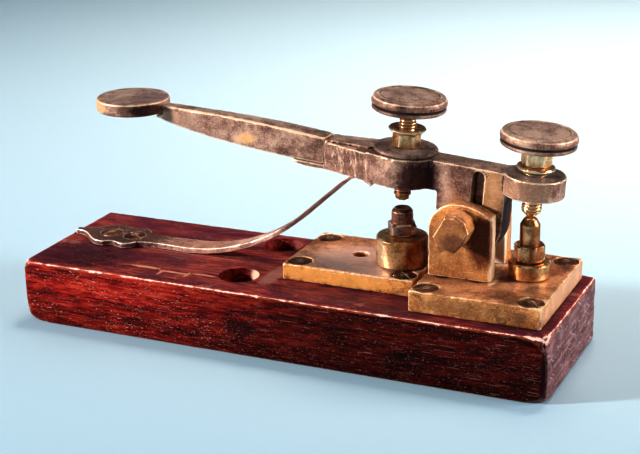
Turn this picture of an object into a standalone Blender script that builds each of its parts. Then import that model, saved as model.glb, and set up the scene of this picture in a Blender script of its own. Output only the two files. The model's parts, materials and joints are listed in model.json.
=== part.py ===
"""Lever telegraph key: a brass lever, its standard, anvils, thumbscrews and leaf spring on a wood base.

Units are metres and +Z is up. The origin is the centre of the base's underside. +X runs along the
base towards the standard, and +Y points to the back. Lever pieces are children of an empty on the
pivot axis, tilted with the lever: their own X runs along the lever and their own Z along its screws.
"""

from math import asin, ceil, cos, degrees, pi, radians, sin, sqrt

import bmesh
import bpy
from mathutils import Matrix, Vector

# ---------------------------------------------------------------- driving dimensions
GAP = 0.0003  # between solids that touch on the real object
OVERSHOOT = 0.001  # how far a cutting shape reaches past the face it opens

BASE_LENGTH, BASE_WIDTH, BASE_HEIGHT = 0.175, 0.054, 0.0208
BASE_EDGE = 0.0012
WIRE_HOLE_RADIUS, WIRE_HOLE_DEPTH = 0.006, 0.014
WIRE_HOLES = ((-0.0161, -0.0131), (-0.0150, 0.0174))

MECH_Y = 0.0016  # centre plane of the lever and all that it touches

FRONT_PLATE_X, FRONT_PLATE_Y, FRONT_PLATE_TOP = (-0.0015, 0.0415), (-0.0120, 0.0195), 0.0265
REAR_PLATE_X, REAR_PLATE_Y, REAR_PLATE_TOP = (0.0440, 0.0843), (-0.0225, 0.0225), 0.0278
TERMINAL_HOLE, TERMINAL_HOLE_RADIUS = (0.0180, 0.0045), 0.0026
PLATE_SCREW_INSET, PLATE_EDGE = 0.0042, 0.0003

WOOD_SCREW_HEAD_RADIUS, WOOD_SCREW_HEAD_DEPTH = 0.0036, 0.0022
WOOD_SCREW_SHANK_RADIUS, WOOD_SCREW_LENGTH = 0.0015, 0.0150
WOOD_SCREW_RIM, WOOD_SCREW_POINT_RADIUS, WOOD_SCREW_POINT_LENGTH = 0.0004, 0.0003, 0.0030
SLOT_WIDTH, SLOT_DEPTH = 0.0009, 0.0009
PLATE_SLOT_TURN, PLATE_SLOT_TURN_STEP = radians(35), radians(50)
SPRING_SLOT_TURN, SPRING_SLOT_TURN_STEP = radians(70), radians(-110)

# Machine screws put in from below, and the thinner threads that they and the pins have.
STUD_RADIUS, THREAD_RADIUS = 0.0022, 0.0017
CHEEK_SCREW_SPACING, CHEEK_SCREW_REACH = 0.0110, 0.0070
ANVIL_SCREW_REACH = 0.0020

PIVOT = Vector((0.0542, MECH_Y, 0.0440))
REST_TILT = radians(4.4)
CHEEK_LEFT, CHEEK_RIGHT, CHEEK_PEAK = 0.0453, 0.0647, 0.0511
CHEEK_LEFT_RADIUS, CHEEK_TOP_RADIUS = 0.0086, 0.0190
FRONT_CHEEK_Y, REAR_CHEEK_Y = (-0.0092, -0.0042), (0.0074, 0.0140)
REAR_CHEEK_SHIFT = -0.0008

PIVOT_SHANK_RADIUS = 0.0030
PIVOT_HEAD_THICKNESS, PIVOT_HEAD_CHAMFER, PIVOT_HEAD_FACE_SCALE = 0.0073, 0.0007, 0.88
PIVOT_NUT_FLATS, PIVOT_NUT_THICKNESS = 0.0095, 0.0040
# The bolt's head is a hexagon worn out of true: its corners, as X and Z from the pivot.
PIVOT_HEAD = (
    (-0.0013, 0.0057),
    (0.0018, 0.0060),
    (0.0049, 0.0041),
    (0.0060, 0.0010),
    (0.0043, -0.0027),
    (0.0016, -0.0057),
    (-0.0039, -0.0038),
    (-0.0051, -0.0010),
)

# The lever, in its own frame: X along it from the pivot, Z square to it.
LEVER_TOP = 0.0170
BAR_BOTTOM, BAR_HALF_WIDTH = 0.0078, 0.0046
STEP_X, STEP_HALF_WIDTH = -0.0462, 0.0045
TONGUE_X, TONGUE_TOP, TONGUE_BOTTOM = -0.0575, 0.0088, 0.0073
TONGUE_END, TONGUE_HALF_WIDTH = 0.0060, 0.0036
FLARE_X = -0.0245
CONTACT_X, CONTACT_BOSS_RADIUS = -0.0215, 0.0102
STOP_X, STOP_BOSS_RADIUS = 0.0189, 0.0092
STOP_BOSS_BOTTOM, STOP_BOSS_TOP = 0.0110, 0.0173
LUG_LEFT, LUG_RIGHT, LUG_RADIUS, LUG_HALF_WIDTH = -0.0086, 0.0117, 0.0117, 0.0047
LUG_FLARE = 0.0008
GROOVE_X, GROOVE_Z, GROOVE_DEPTH = (0.0015, 0.0051), (0.0050, 0.0162), 0.0034
MERGE = 0.0020  # how far the lever body's joined shapes run into each other
CLEAR_ACROSS, CLEAR_ALONG = 0.02, 0.04  # cutting shapes that pass right through the lever

# Arm stations: distance along the lever, half width, heights of the underside and the top.
ARM_STATIONS = (
    (-0.1060, 0.0024, 0.0136, 0.0177),
    (-0.0955, 0.0026, 0.0115, 0.0180),
    (-0.0800, 0.0029, 0.0099, 0.0183),
    (-0.0620, 0.0036, 0.0092, 0.0181),
    (STEP_X - GAP, 0.0037, 0.0091, 0.0173),
)
ARM_CHAMFER = 0.0004
FINGER_DISC_X, FINGER_DISC_TOP = -0.0599, 0.0713
FINGER_DISC_RADIUS, FINGER_DISC_THICKNESS, FINGER_DISC_EDGE = 0.0118, 0.0044, 0.0005

# Screws through the lever: heights are along the screw, from the pivot.
THUMB_RADIUS, THUMB_THICKNESS = 0.0114, 0.0046
# The disc's edge, from its underside up: how far in from its radius, and height.
THUMB_RIM = (
    (0.0007, 0.0),
    (0.0002, 0.0004),
    (0.0002, 0.0010),
    (0.0011, 0.0013),
    (0.0011, 0.0018),
    (0.0, 0.0021),
    (0.0, 0.0027),
    (0.0004, 0.0036),
    (0.0009, 0.0042),
    (0.0015, 0.0045),
    (0.0024, 0.0045),
    (0.0027, THUMB_THICKNESS),
)
CONTACT_STEM_RADIUS, CONTACT_HEAD_TOP, CONTACT_TIP = 0.0026, 0.0345, 0.0017
STOP_STEM_RADIUS, STOP_HEAD_TOP, STOP_TIP = 0.0030, 0.0305, 0.0041
# The tips' (radius, height) profiles, and the spigot that holds each in its screw.
CONTACT_TIP_PROFILE = ((0.0017, 0.0), (0.0021, 0.0003), (0.0021, 0.0014))
STOP_TIP_PROFILE = ((0.0014, 0.0), (0.0029, 0.0017), (0.0029, 0.0021))
SPIGOT_RADIUS, SPIGOT_LENGTH = 0.0014, 0.0035
WASHER_RADIUS, WASHER_THICKNESS = 0.0098, 0.0011
CONTACT_LOCK_FLATS, CONTACT_LOCK_TURN = 0.0076, radians(20)
STOP_LOCK_FLATS, STOP_LOCK_TURN = 0.0082, radians(8)
LOCK_HEX_HEIGHT, LOCK_MERGE = 0.0040, 0.0004
LOCK_FLANGE_RADIUS, LOCK_FLANGE_HEIGHT, LOCK_FLANGE_RIM = 0.0057, 0.0020, 0.0006
LOCK_NECK_RADIUS, LOCK_NECK_HEIGHT = 0.0042, 0.0010

# Anvils, standing on the plates.
CONTACT_ANVIL_X, STOP_ANVIL_X = 0.0330, 0.0733
CONTACT_POST_RADIUS, CONTACT_POST_HEIGHT = 0.0080, 0.0090
CONTACT_NUT_FLATS, CONTACT_NUT_HEIGHT, CONTACT_NUT_TURN = 0.0077, 0.0039, radians(-13)  # square
CONTACT_PIN_RADIUS, CONTACT_PIN_TOP = 0.0034, 0.0447
STOP_COLLAR_RADIUS, STOP_COLLAR_HEIGHT = 0.0063, 0.0048
STOP_NUT_FLATS, STOP_NUT_HEIGHT, STOP_NUT_TURN = 0.0084, 0.0049, radians(1)  # hexagon
STOP_PIN_RADIUS, STOP_PIN_TOP = 0.0030, 0.0462
# The pins' shoulders: how far in from the radius, and how far below the top.
CONTACT_PIN_SHOULDER = ((0.0002, 0.0009), (0.0005, 0.0003), (0.0011, 0.0))
STOP_PIN_SHOULDER = ((0.0, 0.0018), (0.0010, 0.0))
POST_EDGE, PIN_THREAD_DEPTH = 0.0004, 0.0020

# Leaf spring: an ogee foot screwed to the wood, then a blade bent up to the lever.
SPRING_Y = 0.0024
SPRING_THICKNESS, SPRING_TIP_THICKNESS = 0.0018, 0.0011
SPRING_SCREW_PROUD = 0.0004
# One side of the foot, as X and distance from its middle: tail, first cusp, second cusp, waist.
FOOT_TAIL, FOOT_CUSP_1, FOOT_CUSP_2 = (-0.0850, 0.0012), (-0.0703, 0.0084), (-0.0604, 0.0068)
FOOT_NOTCH, FOOT_WAIST = (-0.0592, 0.0050), (-0.0575, 0.0044)
FOOT_BULGE_1, FOOT_BULGE_2, FOOT_BULGE_3 = -0.0012, -0.0010, -0.0005
BLADE_START_X, BLADE_HALF_WIDTH, BLADE_TIP_HALF_WIDTH = -0.0420, 0.0042, 0.0021
# Each stretch of the blade: its length, and how many degrees it turns upwards.
BLADE_BENDS = ((0.0005, 0), (0.0080, 8), (0.0380, 34), (0.0202, 0), (0.0060, -77), (0.0028, 0))
SPRING_SCREWS_X = (-0.0716, -0.0628)


# ---------------------------------------------------------------- materials
def make_material(name, colour, roughness, metallic):
    material = bpy.data.materials.new(name)
    material.use_nodes = True
    shader = material.node_tree.nodes["Principled BSDF"]
    shader.inputs["Base Color"].default_value = (*colour, 1.0)
    shader.inputs["Roughness"].default_value = roughness
    shader.inputs["Metallic"].default_value = metallic
    return material


def make_materials():
    return {
        "mahogany": make_material("mahogany", (0.16, 0.022, 0.012), 0.38, 0.0),
        "plate_brass": make_material("plate_brass", (0.50, 0.30, 0.15), 0.42, 1.0),
        "turned_brass": make_material("turned_brass", (0.60, 0.38, 0.16), 0.28, 1.0),
        "aged_brass": make_material("aged_brass", (0.30, 0.20, 0.14), 0.45, 1.0),
        "dark_steel": make_material("dark_steel", (0.07, 0.055, 0.05), 0.40, 1.0),
        "spring_brass": make_material("spring_brass", (0.32, 0.20, 0.13), 0.45, 1.0),
    }


# ---------------------------------------------------------------- shape helpers
def add_object(name, bm, material=None, parent=None, matrix=None):
    """An object from a bmesh, with its normals out, shaded smooth except at sharp corners."""
    bmesh.ops.recalc_face_normals(bm, faces=bm.faces)
    mesh = bpy.data.meshes.new(name)
    bm.to_mesh(mesh)
    bm.free()
    mesh.shade_smooth()
    mesh.set_sharp_from_angle(angle=radians(35))
    if material:
        mesh.materials.append(material)
    obj = bpy.data.objects.new(name, mesh)
    bpy.context.scene.collection.objects.link(obj)
    obj.parent = parent
    obj.matrix_basis = matrix or Matrix.Identity(4)
    return obj


def add_loft(bm, rings):
    """Skins a row of equal rings of points and caps both ends."""
    loops = [[bm.verts.new(point) for point in ring] for ring in rings]
    count = len(loops[0])
    for lower, upper in zip(loops, loops[1:]):
        for i in range(count):
            j = (i + 1) % count
            bm.faces.new((lower[i], lower[j], upper[j], upper[i]))
    bm.faces.new(loops[0])
    bm.faces.new(loops[-1])


def circle(radius, z, segments, centre=(0.0, 0.0)):
    angles = [2 * pi * i / segments for i in range(segments)]
    return [(centre[0] + radius * cos(t), centre[1] + radius * sin(t), z) for t in angles]


def add_turned(bm, profile, segments, centre=(0.0, 0.0)):
    """A turned solid from (radius, height) points, bottom to top; no radius is zero."""
    add_loft(bm, [circle(radius, z, segments, centre) for radius, z in profile])


def turned(name, profile, segments, **placing):
    bm = bmesh.new()
    add_turned(bm, profile, segments)
    return add_object(name, bm, **placing)


def add_prism(bm, outline, low, high, axis="Z"):
    """Extrudes an outline of (u, v) points: along Z they are X and Y, along Y they are X and Z."""
    if axis == "Z":
        add_loft(bm, [[(u, v, z) for u, v in outline] for z in (low, high)])
    else:
        add_loft(bm, [[(u, y, v) for u, v in outline] for y in (low, high)])


def prism(name, outline, low, high, axis="Z", **placing):
    bm = bmesh.new()
    add_prism(bm, outline, low, high, axis)
    return add_object(name, bm, **placing)


def rectangle(x_range, y_range):
    return [
        (x_range[0], y_range[0]),
        (x_range[1], y_range[0]),
        (x_range[1], y_range[1]),
        (x_range[0], y_range[1]),
    ]


def arc(centre, radius, start, end, steps):
    """Points on an arc, angles in degrees."""
    angles = [radians(start + (end - start) * i / steps) for i in range(steps + 1)]
    return [(centre[0] + radius * cos(t), centre[1] + radius * sin(t)) for t in angles]


def polygon(sides, flats, turn=0.0):
    """A nut's outline, from its width across the flats."""
    corner = flats / 2 / cos(pi / sides)
    angles = [turn + 2 * pi * i / sides for i in range(sides)]
    return [(corner * cos(t), corner * sin(t)) for t in angles]


def apply_helper(target, helper, operation):
    """Adds or cuts a helper's shape with a Boolean, and keeps the helper out of the model."""
    modifier = target.modifiers.new(helper.name, "BOOLEAN")
    modifier.operation = operation
    modifier.solver = "EXACT"
    modifier.object = helper
    helper.hide_render = True
    helper.display_type = "WIRE"


def cut(target, name, fill):
    """Cuts from the target the shapes that fill(bm) adds, made in the target's own frame."""
    bm = bmesh.new()
    fill(bm)
    helper = add_object(name, bm, parent=target.parent, matrix=target.matrix_basis.copy())
    apply_helper(target, helper, "DIFFERENCE")


def join(target, name, fill):
    bm = bmesh.new()
    fill(bm)
    helper = add_object(name, bm, parent=target.parent, matrix=target.matrix_basis.copy())
    apply_helper(target, helper, "UNION")


def bevel(obj, width, segments=2):
    modifier = obj.modifiers.new("edge", "BEVEL")
    modifier.width = width
    modifier.segments = segments
    modifier.limit_method = "ANGLE"
    modifier.angle_limit = radians(40)


def drill(target, name, holes, segments=16):
    """Cuts round holes given as (x, y, radius, low, high)."""

    def fill(bm):
        for x, y, radius, low, high in holes:
            add_turned(bm, ((radius, low), (radius, high)), segments, (x, y))

    cut(target, name, fill)


def cross_drill(target, name, radius, low, high, centre=(0.0, 0.0), segments=24):
    """Cuts a round hole along Y through a point given by its X and Z."""
    outline = arc(centre, radius, 0, 360 * (1 - 1 / segments), segments - 1)
    cut(target, name, lambda bm: add_prism(bm, outline, low, high, "Y"))


# ---------------------------------------------------------------- screws and plates
def plate_screw_places(x_range, y_range):
    inset = PLATE_SCREW_INSET
    return [(x, y) for x in (x_range[0] + inset, x_range[1] - inset)
            for y in (y_range[0] + inset, y_range[1] - inset)]


def wood_screw(name, material, x, y, top, slot_turn):
    """A countersunk wood screw, head up, with its slot turned to the given angle."""
    head, shank = WOOD_SCREW_HEAD_RADIUS, WOOD_SCREW_SHANK_RADIUS
    profile = (
        (WOOD_SCREW_POINT_RADIUS, -WOOD_SCREW_LENGTH),
        (shank, -WOOD_SCREW_LENGTH + WOOD_SCREW_POINT_LENGTH),
        (shank, -WOOD_SCREW_HEAD_DEPTH),
        (head, -WOOD_SCREW_RIM),
        (head, 0.0),
    )
    placing = Matrix.Translation((x, y, top)) @ Matrix.Rotation(slot_turn, 4, "Z")
    screw = turned(name, profile, 16, material=material, matrix=placing)
    half = SLOT_WIDTH / 2
    slot = rectangle((-2 * head, 2 * head), (-half, half))
    cut(screw, name + "_slot", lambda bm: add_prism(bm, slot, -SLOT_DEPTH, SLOT_DEPTH))


def countersink(target, name, places, top):
    """Clearance for wood screws in a plate or in the spring."""

    def fill(bm):
        head = WOOD_SCREW_HEAD_RADIUS + GAP
        shank = WOOD_SCREW_SHANK_RADIUS + GAP
        for place in places:
            profile = (
                (shank, BASE_HEIGHT - OVERSHOOT),
                (shank, top - WOOD_SCREW_HEAD_DEPTH - GAP),
                (head, top - WOOD_SCREW_RIM - GAP),
                (head, top + OVERSHOOT),
            )
            add_turned(bm, profile, 16, place)

    cut(target, name, fill)


def machine_screw(name, material, x, y, plate_top, reach):
    """Put in from below: a countersunk head in the plate, and a thinner thread in what it holds."""
    bottom = BASE_HEIGHT + GAP
    profile = (
        (2 * STUD_RADIUS, bottom),
        (STUD_RADIUS, bottom + STUD_RADIUS),
        (STUD_RADIUS, plate_top - GAP),
        (THREAD_RADIUS, plate_top),
        (THREAD_RADIUS, plate_top + reach),
    )
    turned(name, profile, 14, material=material, matrix=Matrix.Translation((x, y, 0.0)))


def machine_screw_hole(bm, x, y, plate_top):
    """Clearance in a plate for a machine screw put in from below."""
    bottom = BASE_HEIGHT + GAP
    profile = (
        (2 * STUD_RADIUS + GAP, bottom - OVERSHOOT),
        (2 * STUD_RADIUS + GAP, bottom),
        (STUD_RADIUS + GAP, bottom + STUD_RADIUS + GAP),
        (STUD_RADIUS + GAP, plate_top + OVERSHOOT),
    )
    add_turned(bm, profile, 14, (x, y))


# ---------------------------------------------------------------- base
def make_base(materials):
    half_length, half_width = BASE_LENGTH / 2, BASE_WIDTH / 2
    outline = rectangle((-half_length, half_length), (-half_width, half_width))
    base = prism("wood_base", outline, 0.0, BASE_HEIGHT, material=materials["mahogany"])
    bevel(base, BASE_EDGE)
    above = BASE_HEIGHT + OVERSHOOT
    wires = [(x, y, WIRE_HOLE_RADIUS, BASE_HEIGHT - WIRE_HOLE_DEPTH, above) for x, y in WIRE_HOLES]
    drill(base, "wire_holes", wires, 28)
    screws = [
        (plate_screw_places(FRONT_PLATE_X, FRONT_PLATE_Y), FRONT_PLATE_TOP),
        (plate_screw_places(REAR_PLATE_X, REAR_PLATE_Y), REAR_PLATE_TOP),
        ([(x, SPRING_Y) for x in SPRING_SCREWS_X], spring_screw_top()),
    ]
    pilot = WOOD_SCREW_SHANK_RADIUS + GAP
    pilots = [(x, y, pilot, top - WOOD_SCREW_LENGTH - GAP, above)
              for places, top in screws for x, y in places]
    drill(base, "pilot_holes", pilots, 12)


def make_plate(name, x_range, y_range, top, materials):
    outline = rectangle(x_range, y_range)
    bottom = BASE_HEIGHT + GAP
    plate = prism(name, outline, bottom, top, material=materials["plate_brass"])
    bevel(plate, PLATE_EDGE, 1)
    places = plate_screw_places(x_range, y_range)
    countersink(plate, name + "_screw_holes", places, top)
    for index, (x, y) in enumerate(places):
        slot_turn = PLATE_SLOT_TURN + PLATE_SLOT_TURN_STEP * index
        wood_screw(f"{name}_screw_{index + 1}", materials["dark_steel"], x, y, top, slot_turn)
    return plate


def make_plates(materials):
    front = make_plate("front_plate", FRONT_PLATE_X, FRONT_PLATE_Y, FRONT_PLATE_TOP, materials)
    rear = make_plate("rear_plate", REAR_PLATE_X, REAR_PLATE_Y, REAR_PLATE_TOP, materials)
    x, y = TERMINAL_HOLE
    hole = (x, y, TERMINAL_HOLE_RADIUS, BASE_HEIGHT - OVERSHOOT, FRONT_PLATE_TOP + OVERSHOOT)
    drill(front, "terminal_hole", [hole], 20)
    cut(front, "contact_stud_hole",
        lambda bm: machine_screw_hole(bm, CONTACT_ANVIL_X, MECH_Y, FRONT_PLATE_TOP))

    def rear_holes(bm):
        machine_screw_hole(bm, STOP_ANVIL_X, MECH_Y, REAR_PLATE_TOP)
        for x, y in cheek_screw_places():
            machine_screw_hole(bm, x, y, REAR_PLATE_TOP)

    cut(rear, "rear_stud_holes", rear_holes)


# ---------------------------------------------------------------- standard and pivot
def cheek_screw_places():
    middle = (CHEEK_LEFT + CHEEK_RIGHT) / 2
    offsets = (-CHEEK_SCREW_SPACING / 2, CHEEK_SCREW_SPACING / 2)
    front = [(middle + d, sum(FRONT_CHEEK_Y) / 2) for d in offsets]
    rear = [(middle + REAR_CHEEK_SHIFT + d, sum(REAR_CHEEK_Y) / 2) for d in offsets]
    return front + rear


def cheek_outline(shift):
    """Side view of a cheek: a tight left shoulder, and a flatter arc that ends in a corner."""
    left, right = CHEEK_LEFT + shift, CHEEK_RIGHT + shift
    peak_x = left + CHEEK_LEFT_RADIUS
    foot = REAR_PLATE_TOP + GAP
    corner = 90 - degrees(asin((right - peak_x) / CHEEK_TOP_RADIUS))
    shoulder = arc((peak_x, CHEEK_PEAK - CHEEK_LEFT_RADIUS), CHEEK_LEFT_RADIUS, 180, 90, 10)
    crown = arc((peak_x, CHEEK_PEAK - CHEEK_TOP_RADIUS), CHEEK_TOP_RADIUS, 90, corner, 8)
    return [(left, foot)] + shoulder + crown[1:] + [(right, foot)]


def make_standard(materials):
    brass = materials["plate_brass"]
    foot = REAR_PLATE_TOP + GAP
    places = cheek_screw_places()
    cheeks = (
        ("front_cheek", FRONT_CHEEK_Y, 0.0, places[:2]),
        ("rear_cheek", REAR_CHEEK_Y, REAR_CHEEK_SHIFT, places[2:]),
    )
    for name, y_range, shift, screws in cheeks:
        cheek = prism(name, cheek_outline(shift), *y_range, "Y", material=brass)
        bore = PIVOT_SHANK_RADIUS + GAP
        low, high = y_range[0] - OVERSHOOT, y_range[1] + OVERSHOOT
        cross_drill(cheek, name + "_bore", bore, low, high, (PIVOT.x, PIVOT.z))
        tapped = [(x, y, THREAD_RADIUS + GAP, foot - OVERSHOOT, foot + CHEEK_SCREW_REACH)
                  for x, y in screws]
        drill(cheek, name + "_tapped_holes", tapped, 12)
    for index, (x, y) in enumerate(places):
        machine_screw(f"cheek_screw_{index + 1}", materials["dark_steel"], x, y, REAR_PLATE_TOP,
                      CHEEK_SCREW_REACH)


def make_pivot(materials):
    """The bolt lies along Y on the pivot axis, its head in front and its nut behind."""
    along_y = Matrix.Translation(PIVOT) @ Matrix.Rotation(-pi / 2, 4, "X")
    head_back = FRONT_CHEEK_Y[0] - GAP - PIVOT.y
    head_front = head_back - PIVOT_HEAD_THICKNESS
    nut_front = REAR_CHEEK_Y[1] + GAP - PIVOT.y
    nut_back = nut_front + PIVOT_NUT_THICKNESS
    bm = bmesh.new()
    rings = (
        (PIVOT_HEAD_FACE_SCALE, head_front),
        (1.0, head_front + PIVOT_HEAD_CHAMFER),
        (1.0, head_back),
    )
    add_loft(bm, [[(scale * x, -scale * z, depth) for x, z in PIVOT_HEAD] for scale, depth in rings])
    bolt = add_object("pivot_bolt", bm, materials["plate_brass"], matrix=along_y)
    shank = ((PIVOT_SHANK_RADIUS, head_back - OVERSHOOT), (PIVOT_SHANK_RADIUS, nut_back + OVERSHOOT))
    join(bolt, "pivot_shank", lambda bm: add_turned(bm, shank, 24))
    nut = prism("pivot_nut", polygon(6, PIVOT_NUT_FLATS), nut_front, nut_back,
                material=materials["plate_brass"], matrix=along_y)
    bore = (0, 0, PIVOT_SHANK_RADIUS + GAP, nut_front - OVERSHOOT, nut_back + OVERSHOOT)
    drill(nut, "pivot_nut_bore", [bore], 24)


# ---------------------------------------------------------------- lever
def smooth_stations(stations, per_span):
    """Catmull-Rom values between the stations of a loft."""
    points = [Vector(station) for station in stations]
    points = [2 * points[0] - points[1]] + points + [2 * points[-1] - points[-2]]
    result = []
    for a, b, c, d in zip(points, points[1:], points[2:], points[3:]):
        for i in range(per_span):
            t = i / per_span
            result.append(0.5 * (2 * b + (c - a) * t + (2 * a - 5 * b + 4 * c - d) * t**2
                                 + (3 * b - a - 3 * c + d) * t**3))
    return result + [points[-2]]


def body_outline():
    """Plan view of the lever body: step, flare, contact boss, bar; the stop boss is added later."""
    bar_end = CONTACT_X + sqrt(CONTACT_BOSS_RADIUS**2 - BAR_HALF_WIDTH**2)
    start = degrees(asin((FLARE_X - CONTACT_X) / CONTACT_BOSS_RADIUS))
    finish = 90 - degrees(asin(BAR_HALF_WIDTH / CONTACT_BOSS_RADIUS))
    front = [(STEP_X, -STEP_HALF_WIDTH)]
    front += arc((CONTACT_X, 0.0), CONTACT_BOSS_RADIUS, start - 90, finish - 90, 12)[:-1]
    front.append((bar_end, -BAR_HALF_WIDTH))
    front.append((STOP_X - MERGE, -BAR_HALF_WIDTH))
    return front + [(x, -y) for x, y in reversed(front)]


def lug_outline():
    """Side view of the lug, whose top runs into the bar and the stop boss."""
    start = 180 + degrees(asin(sqrt(LUG_RADIUS**2 - LUG_LEFT**2) / LUG_RADIUS))
    bottom = arc((0.0, 0.0), LUG_RADIUS, start, 360, 14)
    left = (LUG_LEFT - LUG_FLARE, BAR_BOTTOM + MERGE)
    right = (LUG_RIGHT, STOP_BOSS_BOTTOM + MERGE)
    return [left] + bottom + [right, (LUG_RIGHT - 2 * MERGE, LEVER_TOP - OVERSHOOT)]


def tongue_outline():
    """Side view of the lap under the arm, whose end is a quarter of an ellipse."""
    depth = TONGUE_TOP - TONGUE_BOTTOM
    angles = [pi / 2 * i / 5 for i in range(6)]
    end = [(TONGUE_X + TONGUE_END * (1 - cos(t)), TONGUE_TOP - depth * sin(t)) for t in angles]
    return end + [(STEP_X + MERGE, TONGUE_BOTTOM), (STEP_X + MERGE, TONGUE_TOP)]


def groove_outline():
    left, right = GROOVE_X
    radius = (right - left) / 2
    top = arc(((left + right) / 2, GROOVE_Z[1] - radius), radius, 0, 180, 6)
    return [(left, GROOVE_Z[0]), (right, GROOVE_Z[0])] + top


def make_lever_body(pivot, materials):
    body = prism("lever_body", body_outline(), BAR_BOTTOM, LEVER_TOP,
                 material=materials["aged_brass"], parent=pivot)
    stop_boss = ((STOP_BOSS_RADIUS, STOP_BOSS_BOTTOM), (STOP_BOSS_RADIUS, STOP_BOSS_TOP))
    join(body, "stop_boss", lambda bm: add_turned(bm, stop_boss, 32, (STOP_X, 0.0)))
    join(body, "lug",
         lambda bm: add_prism(bm, lug_outline(), -LUG_HALF_WIDTH, LUG_HALF_WIDTH, "Y"))
    join(body, "tongue",
         lambda bm: add_prism(bm, tongue_outline(), -TONGUE_HALF_WIDTH, TONGUE_HALF_WIDTH, "Y"))
    under = rectangle((LUG_RIGHT, CLEAR_ALONG), (-CLEAR_ACROSS, CLEAR_ACROSS))
    cut(body, "under_stop_boss", lambda bm: add_prism(bm, under, 0.0, STOP_BOSS_BOTTOM))
    cross_drill(body, "pivot_bore", PIVOT_SHANK_RADIUS + GAP, -CLEAR_ACROSS, CLEAR_ACROSS)
    drill(body, "screw_bores", [
        (CONTACT_X, 0.0, CONTACT_STEM_RADIUS + GAP, 0.0, CLEAR_ALONG),
        (STOP_X, 0.0, STOP_STEM_RADIUS + GAP, 0.0, CLEAR_ALONG),
    ], 24)
    groove_back = -LUG_HALF_WIDTH + GROOVE_DEPTH
    cut(body, "groove", lambda bm: add_prism(bm, groove_outline(), -CLEAR_ACROSS, groove_back, "Y"))


def make_arm(pivot, materials):
    """A flat bar with a chamfered top, and at its end the finger disc, level with the base."""
    bm = bmesh.new()
    rings = []
    for x, half, bottom, top in smooth_stations(ARM_STATIONS, 3):
        rings.append([
            (x, -half, bottom),
            (x, half, bottom),
            (x, half, top - ARM_CHAMFER),
            (x, half - ARM_CHAMFER, top),
            (x, -half + ARM_CHAMFER, top),
            (x, -half, top - ARM_CHAMFER),
        ])
    add_loft(bm, rings)
    arm = add_object("lever_arm", bm, materials["aged_brass"], parent=pivot)
    level = pivot.matrix_world.inverted() @ Matrix.Translation((FINGER_DISC_X, MECH_Y, 0.0))
    radius, edge = FINGER_DISC_RADIUS, FINGER_DISC_EDGE
    low = FINGER_DISC_TOP - FINGER_DISC_THICKNESS
    bm = bmesh.new()
    add_turned(bm, ((radius + GAP, low - GAP), (radius + GAP, FINGER_DISC_TOP + CLEAR_ALONG)), 48)
    helper = add_object("disc_seat", bm, parent=pivot, matrix=level)
    apply_helper(arm, helper, "DIFFERENCE")
    profile = (
        (radius - edge, low),
        (radius, low + edge),
        (radius, FINGER_DISC_TOP - edge),
        (radius - edge, FINGER_DISC_TOP),
    )
    turned("finger_disc", profile, 48, material=materials["aged_brass"], parent=pivot, matrix=level)


# ---------------------------------------------------------------- thumbscrews and lock nuts
def thumb_profile(head_top, stem_radius, stem_bottom):
    """A stem under a double-rimmed disc with a slightly raised centre."""
    low = head_top - THUMB_THICKNESS
    disc = [(THUMB_RADIUS - inset, low + height) for inset, height in THUMB_RIM]
    return [(stem_radius, stem_bottom), (stem_radius, low)] + disc


def make_thumbscrew(name, tip_name, x, stem, head_top, tip, tip_profile, pivot, materials):
    """A thumbscrew and the contact tip that is pressed into its end by a spigot."""
    place = Matrix.Translation((x, 0.0, 0.0))
    tip_height = tip_profile[-1][1] + GAP
    screw = turned(name, thumb_profile(head_top, stem, tip + tip_height), 40,
                   material=materials["aged_brass"], parent=pivot, matrix=place)
    spigot_end = tip + tip_height + SPIGOT_LENGTH
    drill(screw, name + "_bore", [(0, 0, SPIGOT_RADIUS + GAP, tip, spigot_end + GAP)], 14)
    profile = [(radius, tip + height) for radius, height in tip_profile]
    profile += [(SPIGOT_RADIUS, profile[-1][1]), (SPIGOT_RADIUS, spigot_end)]
    turned(tip_name, profile, 20, material=materials["turned_brass"], parent=pivot, matrix=place)


def make_lock_nut(name, x, flats, turn, bore, bottom, flange_on_top, pivot, materials):
    """A hexagon nut with a round double-cone flange, above the hexagon or below it on a neck."""
    place = Matrix.Translation((x, 0.0, 0.0))
    if flange_on_top:
        hex_bottom = bottom
        low = hex_bottom + LOCK_HEX_HEIGHT - LOCK_MERGE
        neck = []
    else:
        low = bottom + LOCK_NECK_HEIGHT
        hex_bottom = low + LOCK_FLANGE_HEIGHT - LOCK_MERGE
        neck = [(LOCK_NECK_RADIUS, bottom)]
    nut = prism(name, polygon(6, flats, turn), hex_bottom, hex_bottom + LOCK_HEX_HEIGHT,
                material=materials["turned_brass"], parent=pivot, matrix=place)
    middle, half_rim = low + LOCK_FLANGE_HEIGHT / 2, LOCK_FLANGE_RIM / 2
    flange = neck + [
        (LOCK_NECK_RADIUS, low),
        (LOCK_FLANGE_RADIUS, middle - half_rim),
        (LOCK_FLANGE_RADIUS, middle + half_rim),
        (LOCK_NECK_RADIUS, low + LOCK_FLANGE_HEIGHT),
    ]
    join(nut, name + "_flange", lambda bm: add_turned(bm, flange, 28))
    drill(nut, name + "_bore", [(0, 0, bore, bottom - OVERSHOOT, CLEAR_ALONG)], 24)


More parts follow.
